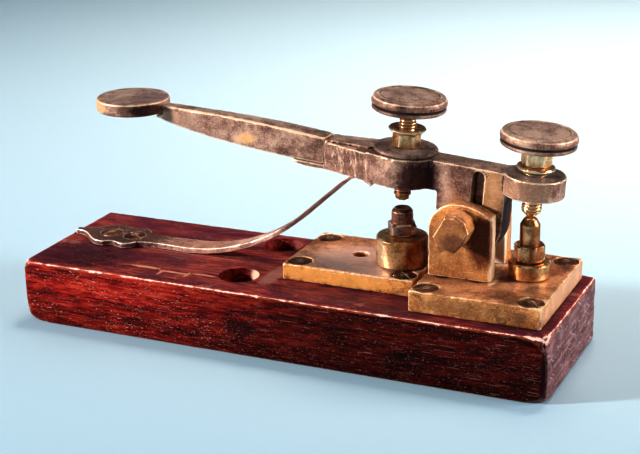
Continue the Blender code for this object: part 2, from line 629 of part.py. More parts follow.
def make_lever_hardware(pivot, materials):
    make_thumbscrew("contact_screw", "contact_screw_tip", CONTACT_X, CONTACT_STEM_RADIUS,
                    CONTACT_HEAD_TOP, CONTACT_TIP, CONTACT_TIP_PROFILE, pivot, materials)
    make_thumbscrew("stop_screw", "stop_screw_tip", STOP_X, STOP_STEM_RADIUS,
                    STOP_HEAD_TOP, STOP_TIP, STOP_TIP_PROFILE, pivot, materials)
    washer_bottom = LEVER_TOP + GAP
    washer_top = washer_bottom + WASHER_THICKNESS
    washer = turned("contact_washer", ((WASHER_RADIUS, washer_bottom), (WASHER_RADIUS, washer_top)),
                    32, material=materials["aged_brass"], parent=pivot,
                    matrix=Matrix.Translation((CONTACT_X, 0.0, 0.0)))
    contact_bore, stop_bore = CONTACT_STEM_RADIUS + GAP, STOP_STEM_RADIUS + GAP
    drill(washer, "washer_bore", [(0, 0, contact_bore, 0.0, CLEAR_ALONG)], 24)
    make_lock_nut("contact_lock_nut", CONTACT_X, CONTACT_LOCK_FLATS, CONTACT_LOCK_TURN,
                  contact_bore, washer_top + GAP, True, pivot, materials)
    make_lock_nut("stop_lock_nut", STOP_X, STOP_LOCK_FLATS, STOP_LOCK_TURN,
                  stop_bore, STOP_BOSS_TOP + GAP, False, pivot, materials)


# ---------------------------------------------------------------- anvils
def make_anvil(prefix, x, plate_top, post, nut, pin, pin_material, materials):
    """A round post on a plate, a lock nut on it, and a pin screwed through the nut into the post.

    post is (radius, height), nut is (sides, flats, height, turn) and pin is (radius, top, shoulder).
    """
    foot = plate_top + GAP
    post_radius, post_height = post
    post_top = foot + post_height
    nut_bottom = post_top + GAP
    sides, flats, nut_height, turn = nut
    nut_top = nut_bottom + nut_height
    place = Matrix.Translation((x, MECH_Y, 0.0))
    post_profile = (
        (post_radius, foot),
        (post_radius, post_top - POST_EDGE),
        (post_radius - POST_EDGE, post_top),
    )
    base = turned(prefix + "_anvil_post", post_profile, 40, material=materials["turned_brass"],
                  matrix=place)
    pin_end = post_top - PIN_THREAD_DEPTH
    bore = THREAD_RADIUS + GAP
    drill(base, prefix + "_post_bores", [
        (0, 0, bore, foot - OVERSHOOT, foot + ANVIL_SCREW_REACH),
        (0, 0, bore, pin_end - GAP, post_top + OVERSHOOT),
    ], 14)
    ring = prism(prefix + "_anvil_nut", polygon(sides, flats, turn), nut_bottom, nut_top,
                 material=pin_material, matrix=place)
    drill(ring, prefix + "_nut_bore", [(0, 0, bore, nut_bottom - OVERSHOOT, nut_top + OVERSHOOT)], 20)
    seat = nut_top + GAP
    pin_radius, pin_top, shoulder = pin
    pin_profile = [(THREAD_RADIUS, pin_end), (THREAD_RADIUS, seat), (pin_radius, seat)]
    pin_profile += [(pin_radius - inset, pin_top - drop) for inset, drop in shoulder]
    turned(prefix + "_anvil_pin", pin_profile, 24, material=pin_material, matrix=place)
    machine_screw(prefix + "_anvil_screw", materials["dark_steel"], x, MECH_Y, plate_top,
                  ANVIL_SCREW_REACH)


def make_anvils(materials):
    contact_post = (CONTACT_POST_RADIUS, CONTACT_POST_HEIGHT)
    contact_nut = (4, CONTACT_NUT_FLATS, CONTACT_NUT_HEIGHT, CONTACT_NUT_TURN)
    contact_pin = (CONTACT_PIN_RADIUS, CONTACT_PIN_TOP, CONTACT_PIN_SHOULDER)
    make_anvil("contact", CONTACT_ANVIL_X, FRONT_PLATE_TOP, contact_post, contact_nut, contact_pin,
               materials["dark_steel"], materials)
    stop_post = (STOP_COLLAR_RADIUS, STOP_COLLAR_HEIGHT)
    stop_nut = (6, STOP_NUT_FLATS, STOP_NUT_HEIGHT, STOP_NUT_TURN)
    stop_pin = (STOP_PIN_RADIUS, STOP_PIN_TOP, STOP_PIN_SHOULDER)
    make_anvil("stop", STOP_ANVIL_X, REAR_PLATE_TOP, stop_post, stop_nut, stop_pin,
               materials["turned_brass"], materials)


# ---------------------------------------------------------------- return spring
def spring_screw_top():
    return BASE_HEIGHT + GAP + SPRING_THICKNESS + SPRING_SCREW_PROUD


def ogee(start, end, bulge, waves, steps):
    """Points from start to just before end, swelling outwards by bulge in half or full waves."""
    result = []
    for i in range(steps):
        t = i / steps
        x = start[0] + (end[0] - start[0]) * t
        y = start[1] + (end[1] - start[1]) * t
        result.append((x, y + bulge * sin(waves * pi * t)))
    return result


def foot_outline():
    """Plan view of the spring's foot: a pointed tail, two cusps a side, then the blade's width."""
    side = ogee(FOOT_TAIL, FOOT_CUSP_1, FOOT_BULGE_1, 2, 8)
    side += ogee(FOOT_CUSP_1, FOOT_CUSP_2, FOOT_BULGE_2, 2, 6)
    side += [FOOT_CUSP_2, FOOT_NOTCH]
    side += ogee(FOOT_WAIST, (BLADE_START_X - OVERSHOOT, BLADE_HALF_WIDTH), FOOT_BULGE_3, 1, 4)
    side.append((BLADE_START_X + OVERSHOOT, BLADE_HALF_WIDTH))
    return [(x, SPRING_Y - y) for x, y in side] + [(x, SPRING_Y + y) for x, y in reversed(side)]


def blade_path():
    """Centre line of the blade as (x, z, heading, share of its length), from the foot to the tip."""
    x, z, heading = BLADE_START_X, BASE_HEIGHT + GAP + SPRING_THICKNESS / 2, 0.0
    total = sum(length for length, _ in BLADE_BENDS)
    path, travelled = [(x, z, heading, 0.0)], 0.0
    for length, bend in BLADE_BENDS:
        steps = max(1, ceil(abs(bend) / 7))
        for _ in range(steps):
            heading += radians(bend) / steps / 2
            x += length / steps * cos(heading)
            z += length / steps * sin(heading)
            heading += radians(bend) / steps / 2
            travelled += length / steps
            path.append((x, z, heading, travelled / total))
    return path


def make_spring(materials):
    low = BASE_HEIGHT + GAP
    spring = prism("return_spring", foot_outline(), low, low + SPRING_THICKNESS,
                   material=materials["spring_brass"])

    def blade(bm):
        rings = []
        for x, z, heading, share in blade_path():
            half = BLADE_HALF_WIDTH + (BLADE_TIP_HALF_WIDTH - BLADE_HALF_WIDTH) * share
            thick = SPRING_THICKNESS + (SPRING_TIP_THICKNESS - SPRING_THICKNESS) * share
            up = (-sin(heading) * thick / 2, cos(heading) * thick / 2)
            rings.append([
                (x - up[0], SPRING_Y - half, z - up[1]), (x - up[0], SPRING_Y + half, z - up[1]),
                (x + up[0], SPRING_Y + half, z + up[1]), (x + up[0], SPRING_Y - half, z + up[1]),
            ])
        add_loft(bm, rings)

    join(spring, "spring_blade", blade)
    top = spring_screw_top()
    countersink(spring, "spring_screw_holes", [(x, SPRING_Y) for x in SPRING_SCREWS_X], top)
    for index, x in enumerate(SPRING_SCREWS_X):
        wood_screw(f"spring_screw_{index + 1}", materials["dark_steel"], x, SPRING_Y, top,
                   SPRING_SLOT_TURN + SPRING_SLOT_TURN_STEP * index)


# ---------------------------------------------------------------- assembly
def make_pivot_empty():
    empty = bpy.data.objects.new("lever_pivot", None)
    bpy.context.scene.collection.objects.link(empty)
    empty.location = PIVOT
    empty.rotation_euler = (0.0, REST_TILT, 0.0)
    bpy.context.view_layer.update()
    return empty


def main():
    for obj in list(bpy.data.objects):
        bpy.data.objects.remove(obj, do_unlink=True)
    materials = make_materials()
    make_base(materials)
    make_plates(materials)
    make_standard(materials)
    make_pivot(materials)
    pivot = make_pivot_empty()
    make_lever_body(pivot, materials)
    make_arm(pivot, materials)
    make_lever_hardware(pivot, materials)
    make_anvils(materials)
    make_spring(materials)


main()
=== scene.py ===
"""The looks of an antique lever telegraph key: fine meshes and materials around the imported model.

Units are metres. Lever pieces are made in the lever's own frame, whose X runs along the lever from
the pivot and whose Z runs along its screws, and are placed with the matrix LEVER.
"""

import json
from math import atan2, ceil, cos, inf, pi, radians, sin, tan

import bmesh
import bpy
import numpy as np
from mathutils import Matrix, Vector, noise


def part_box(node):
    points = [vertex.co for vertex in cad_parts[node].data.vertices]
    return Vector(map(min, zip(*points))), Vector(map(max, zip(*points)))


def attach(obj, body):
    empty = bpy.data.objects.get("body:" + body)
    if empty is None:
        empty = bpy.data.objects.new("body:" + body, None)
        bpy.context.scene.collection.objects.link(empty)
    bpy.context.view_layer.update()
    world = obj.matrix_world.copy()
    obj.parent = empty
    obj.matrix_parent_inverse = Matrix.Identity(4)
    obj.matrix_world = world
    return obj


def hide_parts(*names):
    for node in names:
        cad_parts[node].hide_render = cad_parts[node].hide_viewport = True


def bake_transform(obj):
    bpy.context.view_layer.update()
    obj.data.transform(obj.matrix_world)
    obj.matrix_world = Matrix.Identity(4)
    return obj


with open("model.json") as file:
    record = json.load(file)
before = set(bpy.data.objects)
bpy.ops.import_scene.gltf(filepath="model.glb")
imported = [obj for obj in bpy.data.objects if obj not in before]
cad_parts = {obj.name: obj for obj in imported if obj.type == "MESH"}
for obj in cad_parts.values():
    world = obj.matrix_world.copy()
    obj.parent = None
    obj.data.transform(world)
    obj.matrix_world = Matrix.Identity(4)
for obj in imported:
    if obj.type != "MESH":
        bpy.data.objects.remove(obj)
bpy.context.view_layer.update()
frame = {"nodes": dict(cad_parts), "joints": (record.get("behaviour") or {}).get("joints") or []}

# ---- places, from the frame
JOINTS = {joint["name"]: joint for joint in frame["joints"]}
PIVOT = Vector(JOINTS["lever_pivot"]["pos_m"])
SCREW_AXIS = Vector(JOINTS["contact_screw_turn"]["axis"]).normalized()
TILT = atan2(SCREW_AXIS.x, SCREW_AXIS.z)
LEVER = Matrix.Translation(PIVOT) @ Matrix.Rotation(TILT, 4, "Y")
TO_LEVER = LEVER.inverted()
GAP = 0.0003  # between CAD solids that touch on the real object
BASE_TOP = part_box("wood_base")[1].z
FRONT_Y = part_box("wood_base")[0].y


def axis_place(joint):
    """The lever's frame, moved along it to a screw's axis."""
    along = (TO_LEVER @ Vector(JOINTS[joint]["pos_m"])).x
    return LEVER @ Matrix.Translation((along, 0.0, 0.0))


def upright_place(node):
    low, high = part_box(node)
    return Matrix.Translation(((low.x + high.x) / 2, (low.y + high.y) / 2, 0.0))


def measure(node, place):
    """Lowest and highest height of a CAD node along a place's Z axis, and its largest radius."""
    inverse = place.inverted()
    points = [inverse @ vertex.co for vertex in frame["nodes"][node].data.vertices]
    heights = [point.z for point in points]
    return min(heights), max(heights), max(point.xy.length for point in points)


def add_object(name, data):
    obj = bpy.data.objects.new(name, data)
    bpy.context.scene.collection.objects.link(obj)
    return obj


# ---- camera, light and floor
CAMERA_AZIMUTH, CAMERA_ELEVATION, CAMERA_ROLL = radians(24.4), radians(18.96), radians(-0.99)
CAMERA_TARGET, CAMERA_DISTANCE, CAMERA_LENS = Vector((0.00611, 0.0, 0.03531)), 0.4838, 87.23
LIGHTS = (
    # name, azimuth, elevation, distance, diameter, power in watts, colour
    ("key", -54, 16, 1.1, 0.13, 23.0, (1.0, 0.95, 0.87)),
    ("side", 102, 15, 1.3, 0.8, 22.0, (1.0, 0.96, 0.91)),
    ("overhead", 10, 62, 1.5, 1.2, 2.8, (0.84, 0.96, 1.0)),
)
BACKDROP_LIGHT = ("backdrop", 0, 90, 0.0, 0.4, 2.6, (1.0, 0.76, 0.59))
LIGHT_TARGET = Vector((0.02, 0.0, 0.03))
BACKDROP_LIGHT_PLACE, BACKDROP_LIGHT_SPREAD = (0.06, 0.36, 0.8), radians(72)
SKY_COLOUR, SKY_STRENGTH = (0.8, 0.9, 0.95, 1.0), 0.08
DISPLAY_GAMMA = 0.8
FLOOR_SIZE, FLOOR_COLOUR = 12.0, (0.37, 0.54, 0.68)


def toward(azimuth, elevation):
    """Unit vector out to an azimuth, where 0 is -Y and 90 degrees is +X, and an elevation."""
    level = cos(elevation)
    return Vector((sin(azimuth) * level, -cos(azimuth) * level, sin(elevation)))


def make_camera():
    back = toward(CAMERA_AZIMUTH, CAMERA_ELEVATION)
    right = Vector((0.0, 0.0, 1.0)).cross(back).normalized()
    up = back.cross(right)
    turn, lean = cos(CAMERA_ROLL), sin(CAMERA_ROLL)
    right, up = turn * right + lean * up, turn * up - lean * right
    camera = add_object("camera", bpy.data.cameras.new("camera"))
    camera.data.sensor_width = 36.0
    camera.data.lens = CAMERA_LENS
    camera.data.clip_start = 0.01
    rotation = Matrix((right, up, back)).transposed().to_4x4()
    camera.matrix_world = Matrix.Translation(CAMERA_TARGET + CAMERA_DISTANCE * back) @ rotation
    bpy.context.scene.camera = camera


def area_light(name, azimuth, elevation, distance, size, power, colour):
    """A soft round light that shines at the object."""
    direction = toward(radians(azimuth), radians(elevation))
    light = add_object(name, bpy.data.lights.new(name, "AREA"))
    light.data.shape = "DISK"
    light.data.size = size
    light.data.energy = power
    light.data.color = colour
    light.visible_camera = False
    light.location = LIGHT_TARGET + distance * direction
    light.rotation_euler = direction.to_track_quat("Z", "Y").to_euler()
    return light


def make_lights():
    """Three lights around the object, and one that shines down on the floor behind it."""
    for row in LIGHTS:
        area_light(*row)
    backdrop = area_light(*BACKDROP_LIGHT)
    backdrop.location = BACKDROP_LIGHT_PLACE
    backdrop.data.spread = BACKDROP_LIGHT_SPREAD
    world = bpy.data.worlds.new("studio")
    world.use_nodes = True
    sky = world.node_tree.nodes["Background"]
    sky.inputs["Color"].default_value = SKY_COLOUR
    sky.inputs["Strength"].default_value = SKY_STRENGTH
    scene = bpy.context.scene
    scene.world = world
    scene.view_settings.view_transform = "Standard"
    scene.view_settings.gamma = DISPLAY_GAMMA


def make_floor():
    bpy.ops.mesh.primitive_plane_add(size=FLOOR_SIZE, location=(0.0, 0.0, 0.0))
    floor = bpy.context.object
    floor.name = "floor"
    graph = Graph("floor")
    graph.set("Base Color", FLOOR_COLOUR)
    graph.set("Roughness", 0.8)
    graph.set("Specular IOR Level", 0.2)
    floor.data.materials.append(graph.material)


# ---- material graphs
MIX_FACTOR, MIX_A, MIX_B, MIX_RESULT = 0, 6, 7, 2  # a Mix node's sockets for colours


class Graph:
    """A Principled material, and short ways to add nodes to it."""

    def __init__(self, name):
        self.material = bpy.data.materials.new(name)
        self.material.use_nodes = True
        self.tree = self.material.node_tree
        self.shader = self.tree.nodes["Principled BSDF"]
        self.coordinates = self.tree.nodes.new("ShaderNodeTexCoord")
        self.place = self.coordinates.outputs["Object"]

    def put(self, socket, value):
        """Links another node's output to a socket, or sets its value."""
        if isinstance(value, bpy.types.NodeSocket):
            self.tree.links.new(value, socket)
        elif value is not None:
            plain = socket.type in ("VALUE", "VECTOR") or len(value) == 4
            socket.default_value = value if plain else (*value, 1.0)

    def set(self, name, value):
        self.put(self.shader.inputs[name], value)

    def node(self, kind, inputs=(), **settings):
        """A new node; inputs are (socket, value) pairs, where a value may be another node's output."""
        node = self.tree.nodes.new("ShaderNode" + kind)
        for name, value in settings.items():
            setattr(node, name, value)
        for socket, value in inputs:
            self.put(node.inputs[socket], value)
        return node

    def stretched(self, scale, rotation=(0.0, 0.0, 0.0)):
        """Object coordinates, turned and then scaled along each axis."""
        turned = self.node("Mapping", ((0, self.place), ("Rotation", rotation)))
        return self.node("Mapping", ((0, turned.outputs[0]), ("Scale", scale))).outputs[0]

    def noise(self, scale, detail=4.0, roughness=0.55, vector=None, distortion=0.0):
        node = self.node("TexNoise", (
            ("Vector", vector or self.place), ("Scale", scale), ("Detail", detail),
            ("Roughness", roughness), ("Distortion", distortion),
        ))
        return node.outputs[0]

    def cells(self, scale):
        inputs = (("Vector", self.place), ("Scale", scale))
        return self.node("TexVoronoi", inputs).outputs["Distance"]

    def band(self, value, low, high):
        """0 below low, 1 above high, smooth between; low may be the larger."""
        inputs = (("Value", value), ("From Min", low), ("From Max", high))
        return self.node("MapRange", inputs, interpolation_type="SMOOTHSTEP").outputs[0]

    def scaled(self, value, low, high):
        """0 to 1 stretched to low to high."""
        inputs = (("Value", value), ("To Min", low), ("To Max", high))
        return self.node("MapRange", inputs).outputs[0]

    def math(self, operation, a, b=None, clamp=False):
        return self.node("Math", ((0, a), (1, b)), operation=operation, use_clamp=clamp).outputs[0]

    def joined(self, operation, values):
        result = values[0]
        for value in values[1:]:
            result = self.math(operation, result, value)
        return result

    def times(self, *values):
        return self.joined("MULTIPLY", values)

    def most(self, *values):
        return self.joined("MAXIMUM", values)

    def size_of(self, value):
        return self.math("ABSOLUTE", value)

    def centred(self, value):
        """A noise of mean 0.5, shifted to a mean of 0."""
        return self.math("SUBTRACT", value, 0.5)

    def mix(self, factor, a, b, mode="MIX"):
        inputs = ((MIX_FACTOR, factor), (MIX_A, a), (MIX_B, b))
        return self.node("Mix", inputs, data_type="RGBA", blend_type=mode).outputs[MIX_RESULT]

    def laid(self, colour, tint, *masks):
        """A colour with a tint laid over it, where every mask lets it."""
        return self.mix(self.times(*masks), colour, tint)

    def ramp(self, value, stops):
        node = self.node("ValToRGB", ((0, value),))
        elements = node.color_ramp.elements
        while len(elements) < len(stops):
            elements.new(0.5)
        for element, (position, colour) in zip(elements, stops):
            element.position = position
            element.color = (*colour, 1.0)
        return node.outputs[0]

    def facing(self, axis):
        """One component of the surface's direction in the object's own axes."""
        split = self.node("SeparateXYZ", ((0, self.coordinates.outputs["Normal"]),))
        return split.outputs[axis]

    def position(self, axis):
        """One of the object's own coordinates."""
        return self.node("SeparateXYZ", ((0, self.place),)).outputs[axis]

    def painted(self, name):
        """A per-vertex value that the mesh holds, from 0 to 1."""
        return self.node("Attribute", attribute_name=name).outputs["Fac"]

    def bump(self, *layers):
        """Sets the normal from (height, distance in metres) layers."""
        normal = None
        for height, distance in layers:
            inputs = (("Height", height), ("Distance", distance), ("Strength", 1.0), ("Normal", normal))
            normal = self.node("Bump", inputs).outputs[0]
        self.set("Normal", normal)


def scratches(graph, across, along, angles, threshold):
    """Thin broken lines in a few directions in the XZ and XY planes, as a 0 to 1 mask."""
    masks = []
    for index, (tilt, turn) in enumerate(angles):
        vector = graph.stretched((along, across, across), (0.0, radians(tilt), radians(turn)))
        shift = (7.3 * index, 3.1, 1.7 * index)
        shifted = graph.node("VectorMath", ((0, vector), (1, shift))).outputs[0]
        line = graph.noise(1.0, detail=1.0, vector=shifted)
        masks.append(graph.band(line, threshold, threshold + 0.06))
    return graph.most(*masks)


def spot(graph, centre, size, ragged=0.6, scale=700.0):
    """1 inside an ellipsoid and 0 outside it, with a ragged edge."""
    offset = graph.node("VectorMath", ((0, graph.place), (1, centre)), operation="SUBTRACT").outputs[0]
    scaled = graph.node("VectorMath", ((0, offset), (1, size)), operation="DIVIDE").outputs[0]
    distance = graph.node("VectorMath", ((0, scaled),), operation="LENGTH").outputs["Value"]
    grain = graph.centred(graph.noise(scale, detail=5.0, roughness=0.7))
    return graph.band(graph.math("ADD", distance, graph.times(grain, 3.0 * ragged)), 1.2, 0.7)


def stained(graph, colour, centre, size, tint, strength, ragged=0.6, scale=700.0):
    """A colour with a tint laid over it in one spot."""
    return graph.laid(colour, tint, spot(graph, centre, size, ragged, scale), strength)


def brass_tones(graph, blend, grain, tones, top, golden, share):
    """Mottled tones from dark to light, a painted sheen of reflected light on faces that look up, golden
    rubs and dark stains.
    """
    dark, middle, light = tones
    colour = graph.ramp(blend, ((0.38, dark), (0.49, middle), (0.6, light)))
    if top:
        # painted sheen: faces that look up get a lighter tint that stands in for reflected light
        top_sheen_colour = graph.mix(graph.band(blend, 0.43, 0.56), tuple(0.3 * c for c in top), top)
        upward = graph.band(graph.facing(2), 0.5, 0.9)
        colour = graph.laid(colour, top_sheen_colour, upward, 0.6)
    rubbed = graph.noise(110.0, detail=6.0, roughness=0.62, distortion=0.4)
    rubbed = graph.math("ADD", rubbed, graph.times(graph.centred(grain), 0.4))
    rubbed = graph.band(rubbed, share, share + 0.08)
    colour = graph.laid(colour, golden, rubbed, 0.6)
    stains = graph.noise(85.0, detail=6.0, roughness=0.68, distortion=0.9)
    stains = graph.band(stains, 0.56, 0.66)
    return graph.laid(colour, tuple(0.5 * c for c in dark), stains, 0.7)


def upright_streaks(graph, centre, size):
    """Pale casting marks that run up and down, in one place."""
    upright = graph.noise(1.0, detail=5.0, roughness=0.7, distortion=0.3,
                          vector=graph.stretched((750.0, 750.0, 200.0)))
    return graph.times(graph.band(upright, 0.49, 0.66), spot(graph, centre, size))


def brass(name, tones, golden, roughness, worn, metallic=0.35, top=None, tints=(), shades=(), scuffs=None,
          share=0.58, relief=1.0):
    """Old metal: mottled tones from dark to light, golden rubbed patches, scratches, and worn edges whose
    pale colour is partly a painted highlight.

    top is a colour for faces that look up, a painted sheen of reflected light. tints are (centre, size,
    colour, strength) spots below the edge wear, and shades are spots above it that darken by a factor for
    each channel and are duller; the tables say which tints are painted light and which shades are painted
    shade. scuffs is the (centre, size) of a place with pale upright streaks. A larger share leaves fewer
    golden patches, and relief scales the bumps.
    """
    graph = Graph(name)
    mottle = graph.noise(240.0, detail=7.0, roughness=0.66)
    cloud = graph.noise(70.0, detail=3.0, roughness=0.55, distortion=0.5)
    grain = graph.noise(1700.0, detail=4.0, roughness=0.75)
    blend = graph.math("ADD", graph.times(mottle, 0.43), graph.times(cloud, 0.27))
    blend = graph.math("ADD", blend, graph.times(grain, 0.3))
    colour = brass_tones(graph, blend, grain, tones, top, golden, share)
    for row in tints:
        colour = stained(graph, colour, *row)
    if scuffs:
        colour = graph.laid(colour, worn, upright_streaks(graph, *scuffs), 0.85)
    lines = scratches(graph, 3000.0, 75.0, ((8, 4), (-38, 25), (64, -30), (-12, 70)), 0.675)
    colour = graph.laid(colour, worn, lines, 0.3)
    # pale outer edges: wear, and partly a painted highlight along rounded edges
    edges = graph.math("ADD", graph.painted("worn"), graph.times(graph.centred(mottle), 1.3))
    edges = graph.band(edges, 0.42, 0.8)
    colour = graph.laid(colour, worn, edges, 0.8)
    dull = 0.0
    for centre, size, tint, strength in shades:
        shade = graph.times(spot(graph, centre, size, 0.3), strength)
        colour = graph.mix(shade, colour, tint, "MULTIPLY")
        dull = graph.most(dull, graph.times(shade, 0.3 * (1.0 - tint[0])))
    # near black where the hollow value is high: concave creases and the marked thumbscrew groove
    hollow_dark = graph.band(graph.painted("hollow"), 0.08, 0.5)
    colour = graph.laid(colour, (0.02, 0.008, 0.006), hollow_dark, 0.9)
    pits = graph.times(graph.band(graph.cells(760.0), 0.14, 0.05), graph.band(mottle, 0.48, 0.6))
    colour = graph.laid(colour, (0.03, 0.012, 0.01), pits, 0.7)
    graph.set("Base Color", colour)
    graph.set("Metallic", metallic)
    rough = graph.math("SUBTRACT", graph.scaled(blend, *roughness), graph.times(edges, 0.08))
    rough = graph.math("ADD", rough, graph.most(dull, graph.times(hollow_dark, 0.25)), clamp=True)
    graph.set("Roughness", rough)
    graph.set("Specular IOR Level", 0.25)
    graph.bump((mottle, 0.00012 * relief), (grain, 0.00003 * relief), (lines, -0.000015),
               (pits, -0.00004 * relief))
    return graph.material


HOLE_RADIUS = 0.006
WIRE_HOLES = ((-0.0161, -0.0131), (-0.015, 0.0174))
HOLE_WALL_LIGHT_COLOURS = ((0.76, 0.43, 0.33), (0.2, 0.05, 0.04))
SCUFF_COLOUR = (0.42, 0.21, 0.17)
SCRATCH_COLOUR = (0.62, 0.3, 0.21)
TOP_SCRATCHES = (
    # x, y, half length along X, half length along Y, strength
    (-0.047, -0.0174, 0.0056, 0.0008, 1.0),
    (-0.0362, -0.0185, 0.0055, 0.0007, 0.8),
    (-0.0262, -0.0172, 0.0045, 0.0006, 0.8),
    (-0.0405, -0.02, 0.0006, 0.0022, 0.7),
    (-0.0315, -0.0188, 0.0007, 0.0022, 0.7),
    (-0.04, -0.0016, 0.024, 0.0004, 0.6),
)
STAIN_DEPTH = 0.003


def wood_sides(graph, blend):
    """Red, and darker to the right and near the floor."""
    red = graph.ramp(blend, ((0.37, (0.016, 0.001, 0.002)), (0.46, (0.095, 0.003, 0.003)),
                             (0.55, (0.27, 0.012, 0.008)), (0.66, (0.48, 0.05, 0.022))))
    to_right = graph.scaled(graph.band(graph.position(0), -0.06, 0.025), 1.0, 0.22)
    near_floor = graph.scaled(graph.band(graph.position(2), 0.002, 0.012), 0.6, 1.0)
    return graph.mix(1.0, red, graph.times(to_right, near_floor), "MULTIPLY")


def wood_top(graph, blend):
    """Patchy, with a dark stain in the front left corner and another along the back; its lighter, pinker
    tone is partly a painted sheen.
    """
    top = graph.ramp(blend, ((0.37, (0.03, 0.006, 0.012)), (0.47, (0.17, 0.026, 0.027)),
                             (0.6, (0.42, 0.085, 0.07))))
    patchy = graph.band(graph.noise(38.0, detail=5.0, roughness=0.6, distortion=0.5), 0.42, 0.6)
    top = graph.laid(top, (0.052, 0.01, 0.028), patchy, 0.72)
    top = stained(graph, top, (-0.076, -0.015, BASE_TOP), (0.018, 0.01, STAIN_DEPTH),
                  (0.035, 0.008, 0.018), 0.8)
    return stained(graph, top, (-0.035, 0.02, BASE_TOP), (0.062, 0.009, STAIN_DEPTH),
                   (0.06, 0.013, 0.028), 0.6)


def wood_end(graph):
    """Pale greyish end grain with nicks; the pale grey is partly a painted sheen of the varnish's
    reflection.
    """
    rings = graph.noise(1.0, detail=6.0, roughness=0.7, vector=graph.stretched((300.0, 110.0, 700.0)))
    end = graph.ramp(rings, ((0.36, (0.055, 0.013, 0.016)), (0.5, (0.16, 0.06, 0.066)),
                             (0.64, (0.34, 0.19, 0.195))))
    nicks = scratches(graph, 1500.0, 90.0, ((70, 0), (-62, 20), (82, 60)), 0.66)
    return graph.laid(end, (0.6, 0.46, 0.45), nicks, 0.6)


def wood_flecks(graph, upward, at_end):
    """Pale filler in the open pores, thickest on the sides at the finger end."""
    pores = graph.noise(1.0, detail=2.0, roughness=0.6, vector=graph.stretched((900.0, 3600.0, 3600.0)))
    zones = graph.noise(1.0, detail=3.0, vector=graph.stretched((40.0, 160.0, 160.0)))
    limit = graph.math("SUBTRACT", 0.775, graph.times(zones, 0.24))
    flecks = graph.band(graph.math("SUBTRACT", pores, limit), 0.0, 0.04)
    to_left = graph.scaled(graph.band(graph.position(0), 0.01, -0.045), 0.16, 1.0)
    beside_top = graph.scaled(upward, 1.0, 0.35)
    return graph.times(flecks, to_left, beside_top, graph.math("SUBTRACT", 1.0, at_end))


def wood_top_wear(graph, colour, scuffs, upward):
    """Scuffs, scratches, a bare patch beside the front plate, and rubs."""
    colour = graph.laid(colour, SCUFF_COLOUR, scuffs, upward, 0.45)
    for x, y, reach_x, reach_y, strength in TOP_SCRATCHES:
        colour = stained(graph, colour, (x, y, BASE_TOP), (reach_x, reach_y, 0.002),
                         SCRATCH_COLOUR, strength, 0.5, 1300.0)
    colour = stained(graph, colour, (-0.0056, -0.009, BASE_TOP), (0.0028, 0.0095, 0.002),
                     (0.4, 0.2, 0.17), 0.65, 0.5)
    rubs = scratches(graph, 2200.0, 60.0, ((0, 3), (0, -20), (5, 48)), 0.68)
    return graph.laid(colour, SCUFF_COLOUR, rubs, 0.25)


def wood_edges(graph, chips):
    """Masks of the block's upper and upright edges, which get a painted highlight, and of the places there
    with no varnish left, which also get a painted highlight.
    """
    flatness = graph.most(*[graph.size_of(graph.facing(axis)) for axis in range(3)])
    outside = graph.most(graph.band(graph.size_of(graph.position(0)), 0.085, 0.0858),
                         graph.band(graph.size_of(graph.position(1)), 0.025, 0.0256))
    upper = graph.scaled(graph.band(graph.position(2), 0.018, 0.0194), 0.1, 1.0)
    on_edge = graph.times(outside, upper, graph.band(flatness, 0.99, 0.95))
    ragged = graph.math("SUBTRACT", flatness, graph.times(graph.math("SUBTRACT", chips, 0.52), 0.8))
    return on_edge, graph.times(on_edge, graph.band(ragged, 0.88, 0.79))


def wire_hole_walls(graph, colour, upward):
    """A painted pool of light on the right wall of each wire hole, where the light falls in."""
    right_wall = graph.times(graph.band(upward, 0.6, 0.3), graph.band(graph.facing(0), -0.1, -0.4))
    for (x, y), lit_wall_colour in zip(WIRE_HOLES, HOLE_WALL_LIGHT_COLOURS):
        centre = (x + HOLE_RADIUS, y + 0.0015, BASE_TOP - 0.0018)
        lit = spot(graph, centre, (0.0066, 0.008, 0.0044), 0.3)
        colour = graph.laid(colour, lit_wall_colour, lit, right_wall, 0.95)
    return colour


